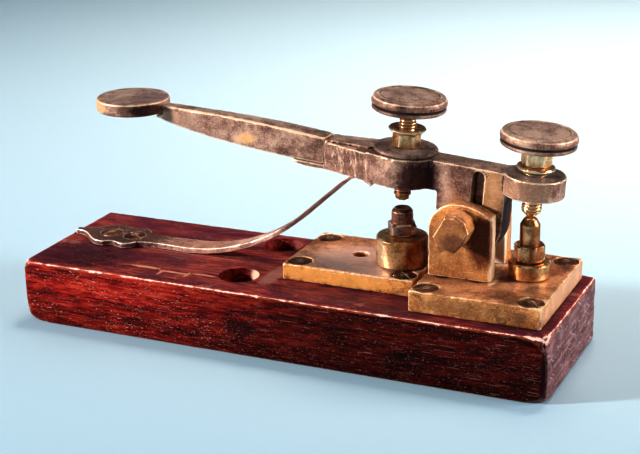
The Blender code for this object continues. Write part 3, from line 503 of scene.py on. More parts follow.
def mahogany():
    """Open-grained wood, stained red, with pale filler in its pores and worn edges and top, and painted
    highlights and sheen on its edges, top and end.
    """
    graph = Graph("mahogany")
    figure = graph.noise(1.0, detail=5.0, roughness=0.62, vector=graph.stretched((16.0, 230.0, 230.0)))
    dashes = graph.noise(1.0, detail=3.0, roughness=0.6, vector=graph.stretched((190.0, 1500.0, 1500.0)))
    blend = graph.math("ADD", graph.times(figure, 0.45), graph.times(dashes, 0.55))
    scuffs = graph.band(graph.noise(60.0, detail=7.0, roughness=0.74, distortion=0.6), 0.57, 0.66)
    chips = graph.noise(420.0, detail=5.0, roughness=0.72)
    upward = graph.band(graph.facing(2), 0.55, 0.85)
    at_end = graph.times(graph.band(graph.size_of(graph.facing(0)), 0.6, 0.9),
                         graph.band(graph.size_of(graph.position(0)), 0.04, 0.08))
    flecks = wood_flecks(graph, upward, at_end)
    on_edge, bare = wood_edges(graph, chips)

    colour = graph.mix(upward, wood_sides(graph, blend), wood_top(graph, blend))
    colour = graph.laid(colour, wood_end(graph), at_end, 0.85)
    knot = ((-0.0093, FRONT_Y, 0.0092), (0.0055, 0.004, 0.003))
    colour = stained(graph, colour, *knot, (0.01, 0.001, 0.002), 0.8)
    colour = graph.laid(colour, (0.68, 0.34, 0.27), flecks, 0.85)
    colour = wood_top_wear(graph, colour, scuffs, upward)
    # painted orange highlight along the edges, then pale bare edges that are both worn-through varnish and a
    # painted highlight
    colour = graph.laid(colour, (0.55, 0.1, 0.035), on_edge, 0.3)
    colour = graph.laid(colour, (0.9, 0.62, 0.56), bare, 0.9)
    front_right_edge = ((0.0873, -0.0268, 0.008), (0.0015, 0.0015, 0.011))
    colour = stained(graph, colour, *front_right_edge, (0.012, 0.002, 0.003), 0.9, 0.2)
    graph.set("Base Color", wire_hole_walls(graph, colour, upward))
    rough = graph.math("ADD", graph.scaled(blend, 0.3, 0.5), graph.times(bare, 0.2), clamp=True)
    graph.set("Roughness", rough)
    graph.set("Specular IOR Level", 0.05)
    graph.bump((blend, 0.0001), (flecks, -0.00008), (scuffs, -0.00004), (chips, 0.00003))
    return graph.material


CREAM = (0.92, 0.7, 0.46)
PLATE_TINTS = (
    # fronts of the rear plate, the front plate and the front upright, and the front plate's top
    ((0.064, -0.0225, 0.0243), (0.017, 0.002, 0.0026), (0.17, 0.07, 0.025), 0.6),
    ((0.017, -0.012, 0.024), (0.023, 0.002, 0.003), (0.98, 0.46, 0.13), 0.65),
    ((0.0545, -0.0092, 0.033), (0.016, 0.003, 0.018), (0.32, 0.125, 0.042), 0.45),
    ((0.022, -0.001, 0.0265), (0.019, 0.014, 0.001), (0.66, 0.49, 0.48), 0.6),
    # the bolt head's face, then painted light on the front upright's right side, on the rear upright's front
    # by its right edge, and on the rear plate's right side
    ((0.053, -0.0165, 0.045), (0.0075, 0.001, 0.007), (0.42, 0.19, 0.085), 0.5),
    ((0.065, -0.006, 0.033), (0.0012, 0.006, 0.02), (0.92, 0.64, 0.42), 0.8),
    ((0.062, 0.0074, 0.043), (0.0045, 0.002, 0.023), (1.0, 0.8, 0.64), 1.0),
    ((0.0843, 0.002, 0.024), (0.0015, 0.026, 0.004), (0.88, 0.54, 0.36), 0.5),
)
PLATE_SHADES = (
    # the bolt head's face: painted shade on its lower right, then a darkening of the whole face; and the
    # painted shadow that the head casts on the upright to its right
    ((0.0558, -0.0165, 0.041), (0.004, 0.002, 0.004), (0.38, 0.3, 0.36), 0.9),
    ((0.0535, -0.0165, 0.044), (0.008, 0.001, 0.008), (0.74, 0.66, 0.62), 1.0),
    ((0.0625, -0.0092, 0.0405), (0.0055, 0.002, 0.0085), (0.22, 0.09, 0.07), 0.95),
    # the rear plate's top, four times, where the first and the fourth are painted shadow cast by the
    # uprights, and the front plate's
    ((0.078, 0.012, 0.0278), (0.006, 0.009, 0.001), (0.45, 0.38, 0.38), 0.8),
    ((0.048, -0.019, 0.0278), (0.006, 0.003, 0.001), (0.5, 0.42, 0.42), 0.8),
    ((0.07, -0.016, 0.0278), (0.006, 0.004, 0.001), (0.62, 0.5, 0.46), 0.8),
    ((0.068, 0.002, 0.0278), (0.004, 0.009, 0.001), (0.3, 0.2, 0.18), 0.9),
    ((0.037, -0.005, 0.0265), (0.008, 0.005, 0.001), (0.5, 0.38, 0.34), 0.8),
)
TURNED_SHADES = (
    # painted shade on the contact post's right side and front and on the stop pin's right side, and a
    # darkening of the contact tip
    ((0.0395, 0.0005, 0.0312), (0.0048, 0.008, 0.007), (0.34, 0.2, 0.18), 0.95),
    ((0.0355, -0.006, 0.0312), (0.0026, 0.004, 0.006), (0.72, 0.55, 0.45), 0.9),
    ((0.076, 0.0, 0.0385), (0.0022, 0.006, 0.007), (0.45, 0.3, 0.25), 0.9),
    ((0.0333, 0.001, 0.0475), (0.005, 0.006, 0.0052), (0.36, 0.25, 0.22), 0.95),
)
AGED_TINTS = (
    # the arm's finger end, a rub in its middle, and painted light on the finger disc's left side
    ((-0.05, -0.002, 0.06), (0.022, 0.004, 0.012), (0.44, 0.26, 0.2), 0.5),
    ((-0.018, -0.002, 0.062), (0.0033, 0.004, 0.0017), (0.64, 0.36, 0.16), 0.85),
    ((-0.0668, -0.006, 0.069), (0.005, 0.006, 0.002), (0.8, 0.42, 0.17), 0.55),
    # the body right and left of its groove, and the stop boss
    ((0.0632, -0.0033, 0.052), (0.0032, 0.002, 0.011), (0.66, 0.32, 0.13), 0.6),
    ((0.048, -0.0033, 0.0535), (0.0035, 0.003, 0.0035), (0.62, 0.37, 0.28), 0.5),
    ((0.074, -0.0075, 0.057), (0.009, 0.004, 0.004), (0.42, 0.225, 0.135), 0.5),
)
AGED_SHADES = (
    # the body's left end, painted shade on the contact boss's right side, and the body left of its groove
    ((0.02, -0.004, 0.058), (0.018, 0.005, 0.012), (0.78, 0.72, 0.72), 1.0),
    ((0.041, -0.0065, 0.053), (0.0068, 0.01, 0.01), (0.14, 0.07, 0.08), 0.97),
    ((0.054, -0.0033, 0.056), (0.005, 0.002, 0.006), (0.62, 0.52, 0.52), 0.8),
    # the finger disc's top, and painted shade on the finger disc's right side and on the lug's right side
    ((-0.054, 0.001, 0.0713), (0.006, 0.007, 0.0014), (0.42, 0.42, 0.55), 0.8),
    ((-0.0495, -0.0062, 0.0688), (0.0068, 0.0065, 0.002), (0.13, 0.05, 0.04), 0.96),
    ((0.0655, 0.0016, 0.044), (0.004, 0.0055, 0.0125), (0.13, 0.07, 0.07), 0.97),
)
BRASSES = {
    "plate_brass": dict(
        tones=((0.15, 0.048, 0.016), (0.48, 0.175, 0.052), (0.8, 0.4, 0.15)), golden=(0.88, 0.4, 0.11),
        roughness=(0.32, 0.48), worn=CREAM, top=(0.66, 0.34, 0.215), tints=PLATE_TINTS, shades=PLATE_SHADES),
    "turned_brass": dict(
        tones=((0.18, 0.06, 0.022), (0.6, 0.28, 0.11), (0.96, 0.69, 0.42)), golden=(0.84, 0.5, 0.24),
        roughness=(0.16, 0.3), metallic=0.85, worn=CREAM, relief=0.3, shades=TURNED_SHADES,
        # a painted highlight on the contact post's front left
        tints=(((0.0285, -0.0049, 0.031), (0.0022, 0.003, 0.006), (1.0, 0.8, 0.52), 0.8),)),
    "aged_brass": dict(
        tones=((0.06, 0.022, 0.017), (0.225, 0.112, 0.082), (0.54, 0.34, 0.255)), golden=(0.55, 0.28, 0.13),
        roughness=(0.36, 0.55), worn=(0.86, 0.61, 0.45), share=0.62, top=(0.4, 0.34, 0.325),
        tints=AGED_TINTS, shades=AGED_SHADES,
        scuffs=((0.019, -0.0035, 0.0575), (0.011, 0.006, 0.0065))),
    "dark_steel": dict(
        tones=((0.014, 0.005, 0.005), (0.075, 0.026, 0.019), (0.28, 0.115, 0.07)), golden=(0.42, 0.2, 0.11),
        roughness=(0.28, 0.45), metallic=0.6, worn=(0.68, 0.46, 0.34), share=0.6),
    "spring_brass": dict(
        tones=((0.14, 0.058, 0.048), (0.48, 0.265, 0.215), (0.88, 0.6, 0.5)), golden=(0.6, 0.34, 0.2),
        roughness=(0.32, 0.5), worn=(0.92, 0.68, 0.58), share=0.62,
        # its foot, and painted shade on the underside of its upper end
        tints=(((-0.07, 0.0024, 0.0229), (0.022, 0.014, 0.003), (0.06, 0.022, 0.024), 0.92),),
        shades=(((0.0, 0.0024, 0.0445), (0.022, 0.006, 0.0175), (0.2, 0.13, 0.14), 0.95),)),
}


def make_materials():
    """One material for each slot of the record."""
    return {"mahogany": mahogany(), **{name: brass(name, **looks) for name, looks in BRASSES.items()}}


# ---- mesh helpers
FILLET_STEPS = 4
CORNER_CUT = 0.975  # how much of its reach a polygon's worn corner keeps
THREAD_PITCH, THREAD_DEPTH = 0.001, 0.00032
THREAD_SEGMENTS, THREAD_ROWS_PER_TURN = 48, 8
NUT_SEGMENTS = 144


def new_object(name, vertices, faces):
    mesh = bpy.data.meshes.new(name)
    mesh.from_pydata([tuple(v) for v in vertices], [], faces)
    mesh.validate()
    return add_object(name, mesh)


def rings_object(name, rings, closed=False):
    """Skins rows of points that go round; closed joins the last row to the first, as in a bore."""
    count, size = len(rings), len(rings[0])
    vertices = [point for ring in rings for point in ring]
    faces = []
    for i in range(count if closed else count - 1):
        for j in range(size):
            k = (j + 1) % size
            n = (i + 1) % count
            faces.append((i * size + j, i * size + k, n * size + k, n * size + j))
    if not closed:
        faces.append(tuple(reversed(range(size))))
        faces.append(tuple((count - 1) * size + j for j in range(size)))
    return new_object(name, vertices, faces)


def bake(obj):
    """Applies an object's modifiers to its mesh."""
    bpy.context.view_layer.update()
    graph = bpy.context.evaluated_depsgraph_get()
    mesh = bpy.data.meshes.new_from_object(obj.evaluated_get(graph))
    obj.modifiers.clear()
    old = obj.data
    obj.data = mesh
    bpy.data.meshes.remove(old)


def merge(name, objects):
    """One object from several, whose shapes may overlap."""
    bm = bmesh.new()
    for obj in objects:
        bm.from_mesh(obj.data)
        bpy.data.objects.remove(obj)
    mesh = bpy.data.meshes.new(name)
    bm.to_mesh(mesh)
    bm.free()
    return add_object(name, mesh)


def remesh(obj, voxel, smoothing):
    """Remakes a closed shape as a fine even mesh whose edges are softly rounded."""
    modifier = obj.modifiers.new("even", "REMESH")
    modifier.mode = "VOXEL"
    modifier.voxel_size = voxel
    modifier.use_smooth_shade = True
    soften = obj.modifiers.new("soft", "SMOOTH")
    soften.factor = 0.5
    soften.iterations = smoothing
    bake(obj)


def subtract(obj, cutters):
    """Cuts closed shapes out of a mesh, and deletes them."""
    for cutter in cutters:
        modifier = obj.modifiers.new("cut", "BOOLEAN")
        modifier.operation = "DIFFERENCE"
        modifier.object = cutter
    bake(obj)
    for cutter in cutters:
        bpy.data.objects.remove(cutter)


def arrays(mesh):
    points = np.empty(len(mesh.vertices) * 3, np.float32)
    mesh.vertices.foreach_get("co", points)
    normals = np.empty(len(mesh.vertices) * 3, np.float32)
    mesh.vertex_normals.foreach_get("vector", normals)
    ends = np.empty(len(mesh.edges) * 2, np.int32)
    mesh.edges.foreach_get("vertices", ends)
    return points.reshape(-1, 3), normals.reshape(-1, 3), ends.reshape(-1, 2)


def neighbour_mean(values, ends, count):
    """For each vertex the mean over its neighbours, of a value or of a row of them."""
    first, second = ends[:, 0], ends[:, 1]
    near = np.bincount(first, minlength=count) + np.bincount(second, minlength=count)
    sums = np.stack([
        np.bincount(first, weights=column[second], minlength=count)
        + np.bincount(second, weights=column[first], minlength=count)
        for column in values.reshape(count, -1).T
    ], axis=1)
    return (sums / np.maximum(near, 1)[:, None]).reshape(values.shape)


def mark_wear(obj, radius=0.0005, spread=2):
    """Stores how far each vertex stands on an outer edge ("worn") or in a corner ("hollow").

    A bend of this radius counts in full, and spread is how often the values are evened out.
    """
    mesh = obj.data
    points, normals, ends = arrays(mesh)
    count = len(points)
    length = np.linalg.norm(points[ends[:, 0]] - points[ends[:, 1]], axis=1)
    around = neighbour_mean(points, ends, count)
    inward = ((points - around) * normals).sum(axis=1)
    spacing = np.bincount(ends[:, 0], weights=length, minlength=count)
    spacing += np.bincount(ends[:, 1], weights=length, minlength=count)
    near = np.bincount(ends.ravel(), minlength=count)
    spacing /= np.maximum(near, 1)
    bend = 4 * inward / np.maximum(spacing, 1e-6) ** 2 * radius
    for _ in range(spread):
        bend = 0.5 * bend + 0.5 * neighbour_mean(bend, ends, count)
    for name, values in (("worn", bend), ("hollow", -bend)):
        attribute = mesh.attributes.new(name, "FLOAT", "POINT")
        attribute.data.foreach_set("value", np.clip(values, 0.0, 1.0).astype(np.float32))


def roughen(obj, depth, size, edges, seed=0.0):
    """Moves the surface in and out a little, and nibbles at outer edges that mark_wear has found."""
    mesh = obj.data
    points, normals, _ = arrays(mesh)
    worn = np.zeros(len(points), np.float32)
    mesh.attributes["worn"].data.foreach_get("value", worn)
    offset = Vector((seed, 2.0 * seed, -seed))
    for index, (point, normal) in enumerate(zip(points, normals)):
        place = Vector(point) / size + offset
        shift = depth * noise.fractal(place, 0.8, 2.0, 3)
        if worn[index] > 0.08:
            bite = max(0.0, noise.fractal(2.6 * place, 0.7, 2.0, 3) - 0.05)
            shift -= edges * worn[index] * bite
        points[index] = point + shift * normal
    mesh.vertices.foreach_set("co", points.ravel())
    mesh.update()


def paint(obj, name, place, value, radii, heights):
    """Raises a painted value to at least value on a ring, between two radii and two heights."""
    inverse = place.inverted()
    for vertex, item in zip(obj.data.vertices, obj.data.attributes[name].data):
        point = inverse @ vertex.co
        if radii[0] < point.xy.length < radii[1] and heights[0] < point.z < heights[1]:
            item.value = max(item.value, value)


def dress(obj, material, node, smooth):
    """Material and shading, and the CAD node that the piece stands for."""
    mesh = obj.data
    mesh.materials.clear()
    mesh.materials.append(MATERIALS[material])
    mesh.shade_smooth()
    if smooth:
        mesh.set_sharp_from_angle(angle=radians(smooth))
    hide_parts(node)


def finish_piece(obj, material, body, node, smooth=35):
    """A piece's dress, and the body that it rides on."""
    dress(obj, material, node, smooth)
    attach(obj, body)


def fillet(points):
    """An outline from (x, y, radius) corners, each rounded by its radius; it goes round."""
    result = []
    for index, (x, y, radius) in enumerate(points):
        corner = Vector((x, y))
        before = Vector(points[index - 1][:2]) - corner
        after = Vector(points[(index + 1) % len(points)][:2]) - corner
        if radius <= 0 or before.length < 1e-9 or after.length < 1e-9:
            result.append((x, y))
            continue
        bend = before.angle(after)
        reach = min(radius / max(tan(bend / 2), 1e-6), 0.49 * before.length, 0.49 * after.length)
        start, end = corner + before.normalized() * reach, corner + after.normalized() * reach
        for step in range(FILLET_STEPS + 1):
            t = step / FILLET_STEPS
            point = (1 - t) ** 2 * start + 2 * t * (1 - t) * corner + t**2 * end
            result.append(tuple(point))
    return result


def shrunk(outline, distance):
    """An outline moved inwards, for a closed list of (x, y) points that runs anticlockwise."""
    points = np.array(outline)
    forward = np.roll(points, -1, axis=0) - points
    forward /= np.maximum(np.linalg.norm(forward, axis=1), 1e-9)[:, None]
    inward = np.stack([-forward[:, 1], forward[:, 0]], axis=1)
    bisector = inward + np.roll(inward, 1, axis=0)
    bisector /= np.maximum((bisector**2).sum(axis=1) / 2, 0.25)[:, None]
    return [tuple(point) for point in points + distance * bisector]


def slab(name, outline, low, high, edge, steps=3):
    """An outline raised from low to high, with all its edges rounded."""
    rings = []
    for height, side in ((low, -1), (high, 1)):
        turns = [pi / 2 * i / steps for i in range(steps + 1)]
        for t in turns if side > 0 else reversed(turns):
            inset = edge * (1 - cos(t))
            z = height - side * edge * (1 - sin(t))
            rings.append([(x, y, z) for x, y in shrunk(outline, inset)])
    return rings_object(name, rings)


def round_points(radius, z, segments, sides=0, turn=0.0, limit=inf):
    """A ring of points, or with sides a polygon whose radius is to its flats, within a limit."""
    ring = []
    for index in range(segments):
        angle = 2 * pi * index / segments
        reach = radius
        if sides:
            sector = (angle - turn) % (2 * pi / sides) - pi / sides
            reach = min(radius / cos(sector), radius / cos(pi / sides) * CORNER_CUT, limit)
        ring.append((reach * cos(angle), reach * sin(angle), z))
    return ring


def turned(name, outline, place, segments=96):
    """A lathe piece from (radius, height) points that go round a section beside the axis."""
    rings = [round_points(max(r, 1e-5), z, segments) for r, z in outline]
    has_bore = min(radius for radius, _ in outline) > 0
    obj = rings_object(name, rings, closed=has_bore)
    obj.data.transform(place)
    return obj


def lathe_piece(node, name, outline, place, material, body, segments=96, wear=0.0005):
    """A lathe piece that stands for a node, with its worn edges marked."""
    piece = turned(name, outline, place, segments)
    mark_wear(piece, wear, 1)
    finish_piece(piece, material, body, node)
    return piece


def section(points):
    """A lathe section from (radius, height, rounding) corners; it starts and ends on the axis."""
    closed = [(0.0, points[0][1], 0.0), *points, (0.0, points[-1][1], 0.0)]
    return fillet(closed)


def thread_rings(radius, low, high):
    """Rows of points along a threaded rod, whose V groove climbs once round per pitch."""
    rows = max(2, ceil((high - low) / THREAD_PITCH * THREAD_ROWS_PER_TURN))
    rings = []
    for row in range(rows + 1):
        z = low + (high - low) * row / rows
        fade = min(1.0, (z - low) / THREAD_PITCH, (high - z) / THREAD_PITCH)
        ring = []
        for index in range(THREAD_SEGMENTS):
            angle = 2 * pi * index / THREAD_SEGMENTS
            phase = (z / THREAD_PITCH - index / THREAD_SEGMENTS) % 1.0
            groove = max(0.0, 1.0 - abs(2 * phase - 1.0) * 1.25)
            reach = radius - THREAD_DEPTH * groove * max(fade, 0.0)
            ring.append((reach * cos(angle), reach * sin(angle), z))
        rings.append(ring)
    return rings


# ---- wood base
WOOD_EDGE, WOOD_GRID = 0.0011, 0.0011
WORN_CORNERS, WORN_CORNER_REACH, WORN_CORNER_RADIUS = (
    (-1, -1, -1), (1, -1, -1), (1, -1, 1), (-1, 1, -1)), 0.007, 0.0035
WIRE_HOLE_DEPTH, WIRE_HOLE_FLARE = 0.014, 0.0004


def grid_lines(low, high, edge, step):
    """Positions along one side of a block: fine over its rounded edges, even between them."""
    ends = [low + edge * t for t in (0.0, 0.12, 0.35, 0.65, 1.0)]
    count = max(1, round((high - low - 2 * edge) / step))
    middle = [low + edge + (high - low - 2 * edge) * i / count for i in range(1, count)]
    return ends + middle + [low + high - value for value in reversed(ends)]


def rounded_block(name, low, high, edge, step):
    """A block skinned with an even grid, with its edges and corners rounded."""
    lines = [grid_lines(low[i], high[i], edge, step) for i in range(3)]
    index, vertices, faces = {}, [], []

    def vertex(point):
        key = tuple(round(value * 1e7) for value in point)
        if key not in index:
            core = [min(max(point[i], low[i] + edge), high[i] - edge) for i in range(3)]
            out = Vector(point) - Vector(core)
            index[key] = len(vertices)
            vertices.append(Vector(core) + out.normalized() * edge if out.length > 1e-9 else Vector(point))
        return index[key]

    for axis in range(3):
        u, v = (axis + 1) % 3, (axis + 2) % 3
        for side, level in ((-1, low[axis]), (1, high[axis])):
            for a, b in zip(lines[u], lines[u][1:]):
                for c, d in zip(lines[v], lines[v][1:]):
                    corners = []
                    for first, second in ((a, c), (b, c), (b, d), (a, d)):
                        point = [0.0, 0.0, 0.0]
                        point[axis], point[u], point[v] = level, first, second
                        corners.append(vertex(point))
                    faces.append(corners if side > 0 else corners[::-1])
    return new_object(name, vertices, faces)


def wear_corners(obj, low, high, corners, reach, radius):
    """Rounds some corners of a block more than its edges; a corner is three signs."""
    for vertex in obj.data.vertices:
        for signs in corners:
            tip = [high[i] if sign > 0 else low[i] for i, sign in enumerate(signs)]
            inward = [(tip[i] - vertex.co[i]) * sign for i, sign in enumerate(signs)]
            share = 1.0
            for depth in inward:
                share *= max(0.0, 1.0 - depth / reach)
            if share <= 0.0:
                continue
            round_to = radius * share**0.5
            over = Vector([max(0.0, round_to - depth) for depth in inward])
            if over.length > round_to:
                pull = over * (1.0 - round_to / over.length)
                vertex.co -= Vector([pull[i] * sign for i, sign in enumerate(signs)])


def make_base():
    low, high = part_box("wood_base")
    base = rounded_block("wood_block", low, high, WOOD_EDGE, WOOD_GRID)
    wear_corners(base, low, high, WORN_CORNERS, WORN_CORNER_REACH, WORN_CORNER_RADIUS)
    mark_wear(base, 0.0012)
    roughen(base, 0.00004, 0.006, edges=0.0016)
    bottom, above, mouth = BASE_TOP - WIRE_HOLE_DEPTH, BASE_TOP + 0.002, HOLE_RADIUS + WIRE_HOLE_FLARE
    outline = [(0.0, bottom), (HOLE_RADIUS, bottom), (HOLE_RADIUS, BASE_TOP - 0.0007),
               (mouth, BASE_TOP), (mouth, above), (0.0, above)]
    subtract(base, [turned("hole", outline, Matrix.Translation((x, y, 0.0)), 64) for x, y in WIRE_HOLES])
    finish_piece(base, "mahogany", "base", "wood_base")


# ---- castings and plates
STRIP = (-0.0455, -0.0312)
STRIP_HALF_WIDTH, STRIP_HEIGHT, BODY_SIDE = 0.0036, 0.0007, 0.015
STRIP_CUTS = (
    # along the lever, across it, depth: both sides, a pit at the washer, and two nicks in its edge
    (STRIP, (-BODY_SIDE, -STRIP_HALF_WIDTH), STRIP_HEIGHT),
    (STRIP, (STRIP_HALF_WIDTH, BODY_SIDE), STRIP_HEIGHT),
    ((-0.0322, -0.0308), (-0.004, -0.0014), 0.0026),
    ((-0.044, -0.0425), (-0.004, -0.0033), 0.0014),
    ((-0.0385, -0.0355), (-0.004, -0.0033), 0.0013),
)
CASTINGS = (
    # node, name, material, body, voxel, smoothing, unevenness, nibbling at the edges, wear radius
    ("front_plate", "front_brass_plate", "plate_brass", "base", 0.0003, 4, 0.000015, 0.0004, 0.0005),
    ("rear_plate", "rear_brass_plate", "plate_brass", "base", 0.00032, 4, 0.000015, 0.0004, 0.0005),
    ("front_cheek", "front_upright", "plate_brass", "base", 0.00026, 5, 0.00002, 0.0003, 0.0005),
    ("rear_cheek", "rear_upright", "plate_brass", "base", 0.00028, 5, 0.00002, 0.0003, 0.0005),
    ("lever_body", "lever_casting", "aged_brass", "lever", 0.00026, 5, 0.00003, 0.0004, 0.0005),
    ("lever_arm", "lever_bar", "aged_brass", "lever", 0.00028, 5, 0.00003, 0.0003, 0.0008),
    ("pivot_bolt", "pivot_bolt_worn", "plate_brass", "base", 0.00019, 5, 0.000015, 0.0001, 0.0004),
    ("pivot_nut", "pivot_nut_worn", "plate_brass", "base", 0.00019, 3, 0.00001, 0.0001, 0.0004),
)


def lever_box(x, y, z):
    """A box cutter in the lever's frame, from (low, high) pairs."""
    outline = [(x[0], y[0]), (x[1], y[0]), (x[1], y[1]), (x[0], y[1])]
    box = slab("cutter", outline, *z, 0.00005, 1)
    box.data.transform(LEVER)
    return box


def raise_strip(body):
    """Cuts the body's top down beside its middle, up to the washer, which leaves a raised strip."""
    top = max((TO_LEVER @ vertex.co).z for vertex in body.data.vertices)
    subtract(body, [lever_box(along, across, (top - depth, top + 0.002))
                    for along, across, depth in STRIP_CUTS])


def make_castings():
    """Plates, uprights, lever and pivot: fine copies of their CAD solids with worn edges."""
    for seed, row in enumerate(CASTINGS):
        node, name, material, body, voxel, smoothing, depth, nibble, wear = row
        obj = add_object(name, frame["nodes"][node].data.copy())
        if node == "lever_body":
            raise_strip(obj)
        remesh(obj, voxel, smoothing)
        mark_wear(obj, wear)
        roughen(obj, depth, 0.0045, edges=nibble, seed=3.7 * seed)
        finish_piece(obj, material, body, node, smooth=0)


# ---- discs, thumbscrews and nuts
THUMB_THICKNESS = 0.0046
CONTACT_STEM, STOP_STEM = 0.0026, 0.003
NUT_HEIGHT, FLANGE_RADIUS, NECK_RADIUS = 0.004, 0.0057, 0.004


def make_finger_disc():
    place = upright_place("finger_disc")
    low, high, radius = measure("finger_disc", place)
    outline = section([
        (radius - 0.0006, low, 0.0003),
        (radius, low + 0.0006, 0.0004),
        (radius, high - 0.0006, 0.0005),
        (radius - 0.0007, high - 0.0001, 0.0005),
        (radius - 0.002, high, 0.001),
        (0.003, high - 0.0002, 0.002),
    ])
    disc = lathe_piece("finger_disc", "finger_button", outline, place, "aged_brass", "lever", 128, 0.0006)
    # a painted highlight along the rim's top edge, through the worn value
    paint(disc, "worn", place, 0.8, (radius - 0.0005, inf), (high - 0.0008, high - 0.0002))


def make_thumbscrew(node, name, joint, body, stem):
    """A disc with two rims, on a threaded rod."""
    place = axis_place(joint)
    bottom, top, radius = measure(node, place)
    low = top - THUMB_THICKNESS
    groove, ring = low + 0.0016, radius - 0.0025
    outline = section([
        # shank and lower rim
        (stem - 0.0002, low - 0.0004, 0.0),
        (stem - 0.0002, low, 0.0002),
        (radius - 0.0008, low, 0.0003),
        (radius - 0.0002, low + 0.0004, 0.0002),
        (radius - 0.0002, low + 0.0011, 0.0003),
        # groove and upper rim
        (radius - 0.0012, groove - 0.0003, 0.0001),
        (radius - 0.0012, groove + 0.0003, 0.0001),
        (radius, low + 0.0021, 0.0003),
        (radius, low + 0.003, 0.0004),
        (radius - 0.0004, top - 0.0007, 0.0003),
        (radius - 0.001, top - 0.0002, 0.0004),
        # thin ring cut into the top, then the slightly raised middle
        (ring + 0.0003, top - 0.0001, 0.0001),
        (ring, top - 0.0005, 0.0001),
        (ring - 0.0003, top - 0.0001, 0.0001),
        (0.002, top, 0.002),
    ])
    disc = lathe_piece(node, name + "_disc", outline, place, "aged_brass", body, 128, 0.0006)
    # the groove and the ring cut into the top are darkened through the hollow value; a line beside the ring
    # and the rim's shoulder get a painted highlight through the worn value
    paint(disc, "hollow", place, 1.0, (-inf, radius - 0.0009), (groove - 0.0004, groove + 0.0004))
    paint(disc, "hollow", place, 0.26, (ring - 0.0001, ring + 0.0001), (top - 0.0005, inf))
    paint(disc, "worn", place, 0.6, (ring + 0.0001, ring + 0.0004), (top - 0.0003, inf))
    paint(disc, "worn", place, 0.75, (radius - 0.0007, inf), (top - 0.0009, inf))
    rod = rings_object(name + "_rod", thread_rings(stem, bottom, low + 0.0003))
    rod.data.transform(place)
    mark_wear(rod, 0.0004, 0)
    finish_piece(rod, "turned_brass", body, node, smooth=60)


def make_tip(node, name, joint, body, face, shoulder, height):
    """A screw's contact end: face is (radius, rounding), and shoulder is (rise, rounding)."""
    place = axis_place(joint)
    bottom, _, radius = measure(node, place)
    corners = [
        (face[0], bottom, face[1]),
        (radius, bottom + shoulder[0], shoulder[1]),
        (radius, bottom + height, 0.0001),
    ]
    lathe_piece(node, name, section(corners), place, "turned_brass", body, 64, 0.0004)


def nut_rings(corners, sides, flats, turn):
    """Rows round a nut, from (radius, height, whether its flats cut that radius) corners."""
    rings = []
    for radius, height, flat in corners:
        if flat:
            rings.append(round_points(flats / 2, height, NUT_SEGMENTS, sides, turn, radius))
        else:
            rings.append(round_points(radius, height, NUT_SEGMENTS))
    return rings


def make_nut(node, name, place, body, material, bore, sides, flats, turn, below=(), above=(), faces=None):
    """A polygonal nut with chamfered corners; below and above are round (radius, height) corners."""
    bottom, top, _ = measure(node, place)
    low, high = faces or (bottom, top)
    inner = flats / 2
    outer = inner / cos(pi / sides)
    drop = (outer - inner) * 0.5
    corners = [
        (bore + 0.0003, bottom, False),
        *[(*point, False) for point in below],
        (inner - 0.0002, low, False),
        (inner + 0.0001, low + 0.0001, True),
        (outer, low + drop, True),
        (outer, high - drop, True),
        (inner + 0.0001, high - 0.0001, True),
        (inner - 0.0002, high, False),
        *[(*point, False) for point in above],
        (bore + 0.0003, top - (0.0004 if above else 0.0), False),
        (bore, top - 0.0007, False),
        (bore, bottom + 0.0003, False),
    ]
    nut = rings_object(name, nut_rings(corners, sides, flats, turn), closed=True)
    nut.data.transform(place)
    mark_wear(nut, 0.0004, 0)
    finish_piece(nut, material, body, node, smooth=28)


def make_washer():
    place = axis_place("contact_screw_turn")
    low, high, radius = measure("contact_washer", place)
    bore = CONTACT_STEM + GAP
    ring = fillet([
        (bore, low, 0.0),
        (radius - 0.0002, low, 0.0002),
        (radius, low + 0.0003, 0.0003),
        (radius, high - 0.0004, 0.0003),
        (radius - 0.0004, high, 0.0003),
        (bore, high, 0.0),
    ])
    lathe_piece("contact_washer", "contact_washer_ring", ring, place, "aged_brass", "lever", 128)


def make_contact_nut():
    """Stands on its hexagon, with its flange above."""
    place = axis_place("contact_screw_turn")
    low, high, _ = measure("contact_lock_nut", place)
    start = low + NUT_HEIGHT
    flange = (
        (NECK_RADIUS, start),
        (NECK_RADIUS + 0.0002, start + 0.0001),
        (FLANGE_RADIUS - 0.0003, start + 0.0008),
        (FLANGE_RADIUS, start + 0.0011),
        (FLANGE_RADIUS, start + 0.0014),
        (FLANGE_RADIUS - 0.0003, start + 0.0017),
        (NECK_RADIUS + 0.0006, high),
        (NECK_RADIUS, high - 0.0001),
    )
    make_nut("contact_lock_nut", "contact_check_nut", place, "contact_nut", "turned_brass",
             CONTACT_STEM + GAP, 6, 0.0076, radians(20), above=flange, faces=(low, start))


def make_stop_nut():
    """Stands on its flange, with its hexagon above."""
    place = axis_place("stop_screw_turn")
    low, high, _ = measure("stop_lock_nut", place)
    start = high - NUT_HEIGHT
    flange = (
        (NECK_RADIUS, low + 0.0001),
        (NECK_RADIUS, low + 0.0008),
        (FLANGE_RADIUS - 0.0002, low + 0.0012),
        (FLANGE_RADIUS, low + 0.0015),
        (FLANGE_RADIUS, low + 0.0018),
        (FLANGE_RADIUS - 0.0002, low + 0.0021),
        (NECK_RADIUS + 0.0002, start - 0.0001),
    )
    make_nut("stop_lock_nut", "stop_check_nut", place, "stop_nut", "turned_brass",
             STOP_STEM + GAP, 6, 0.0082, radians(8), below=flange, faces=(start, high))


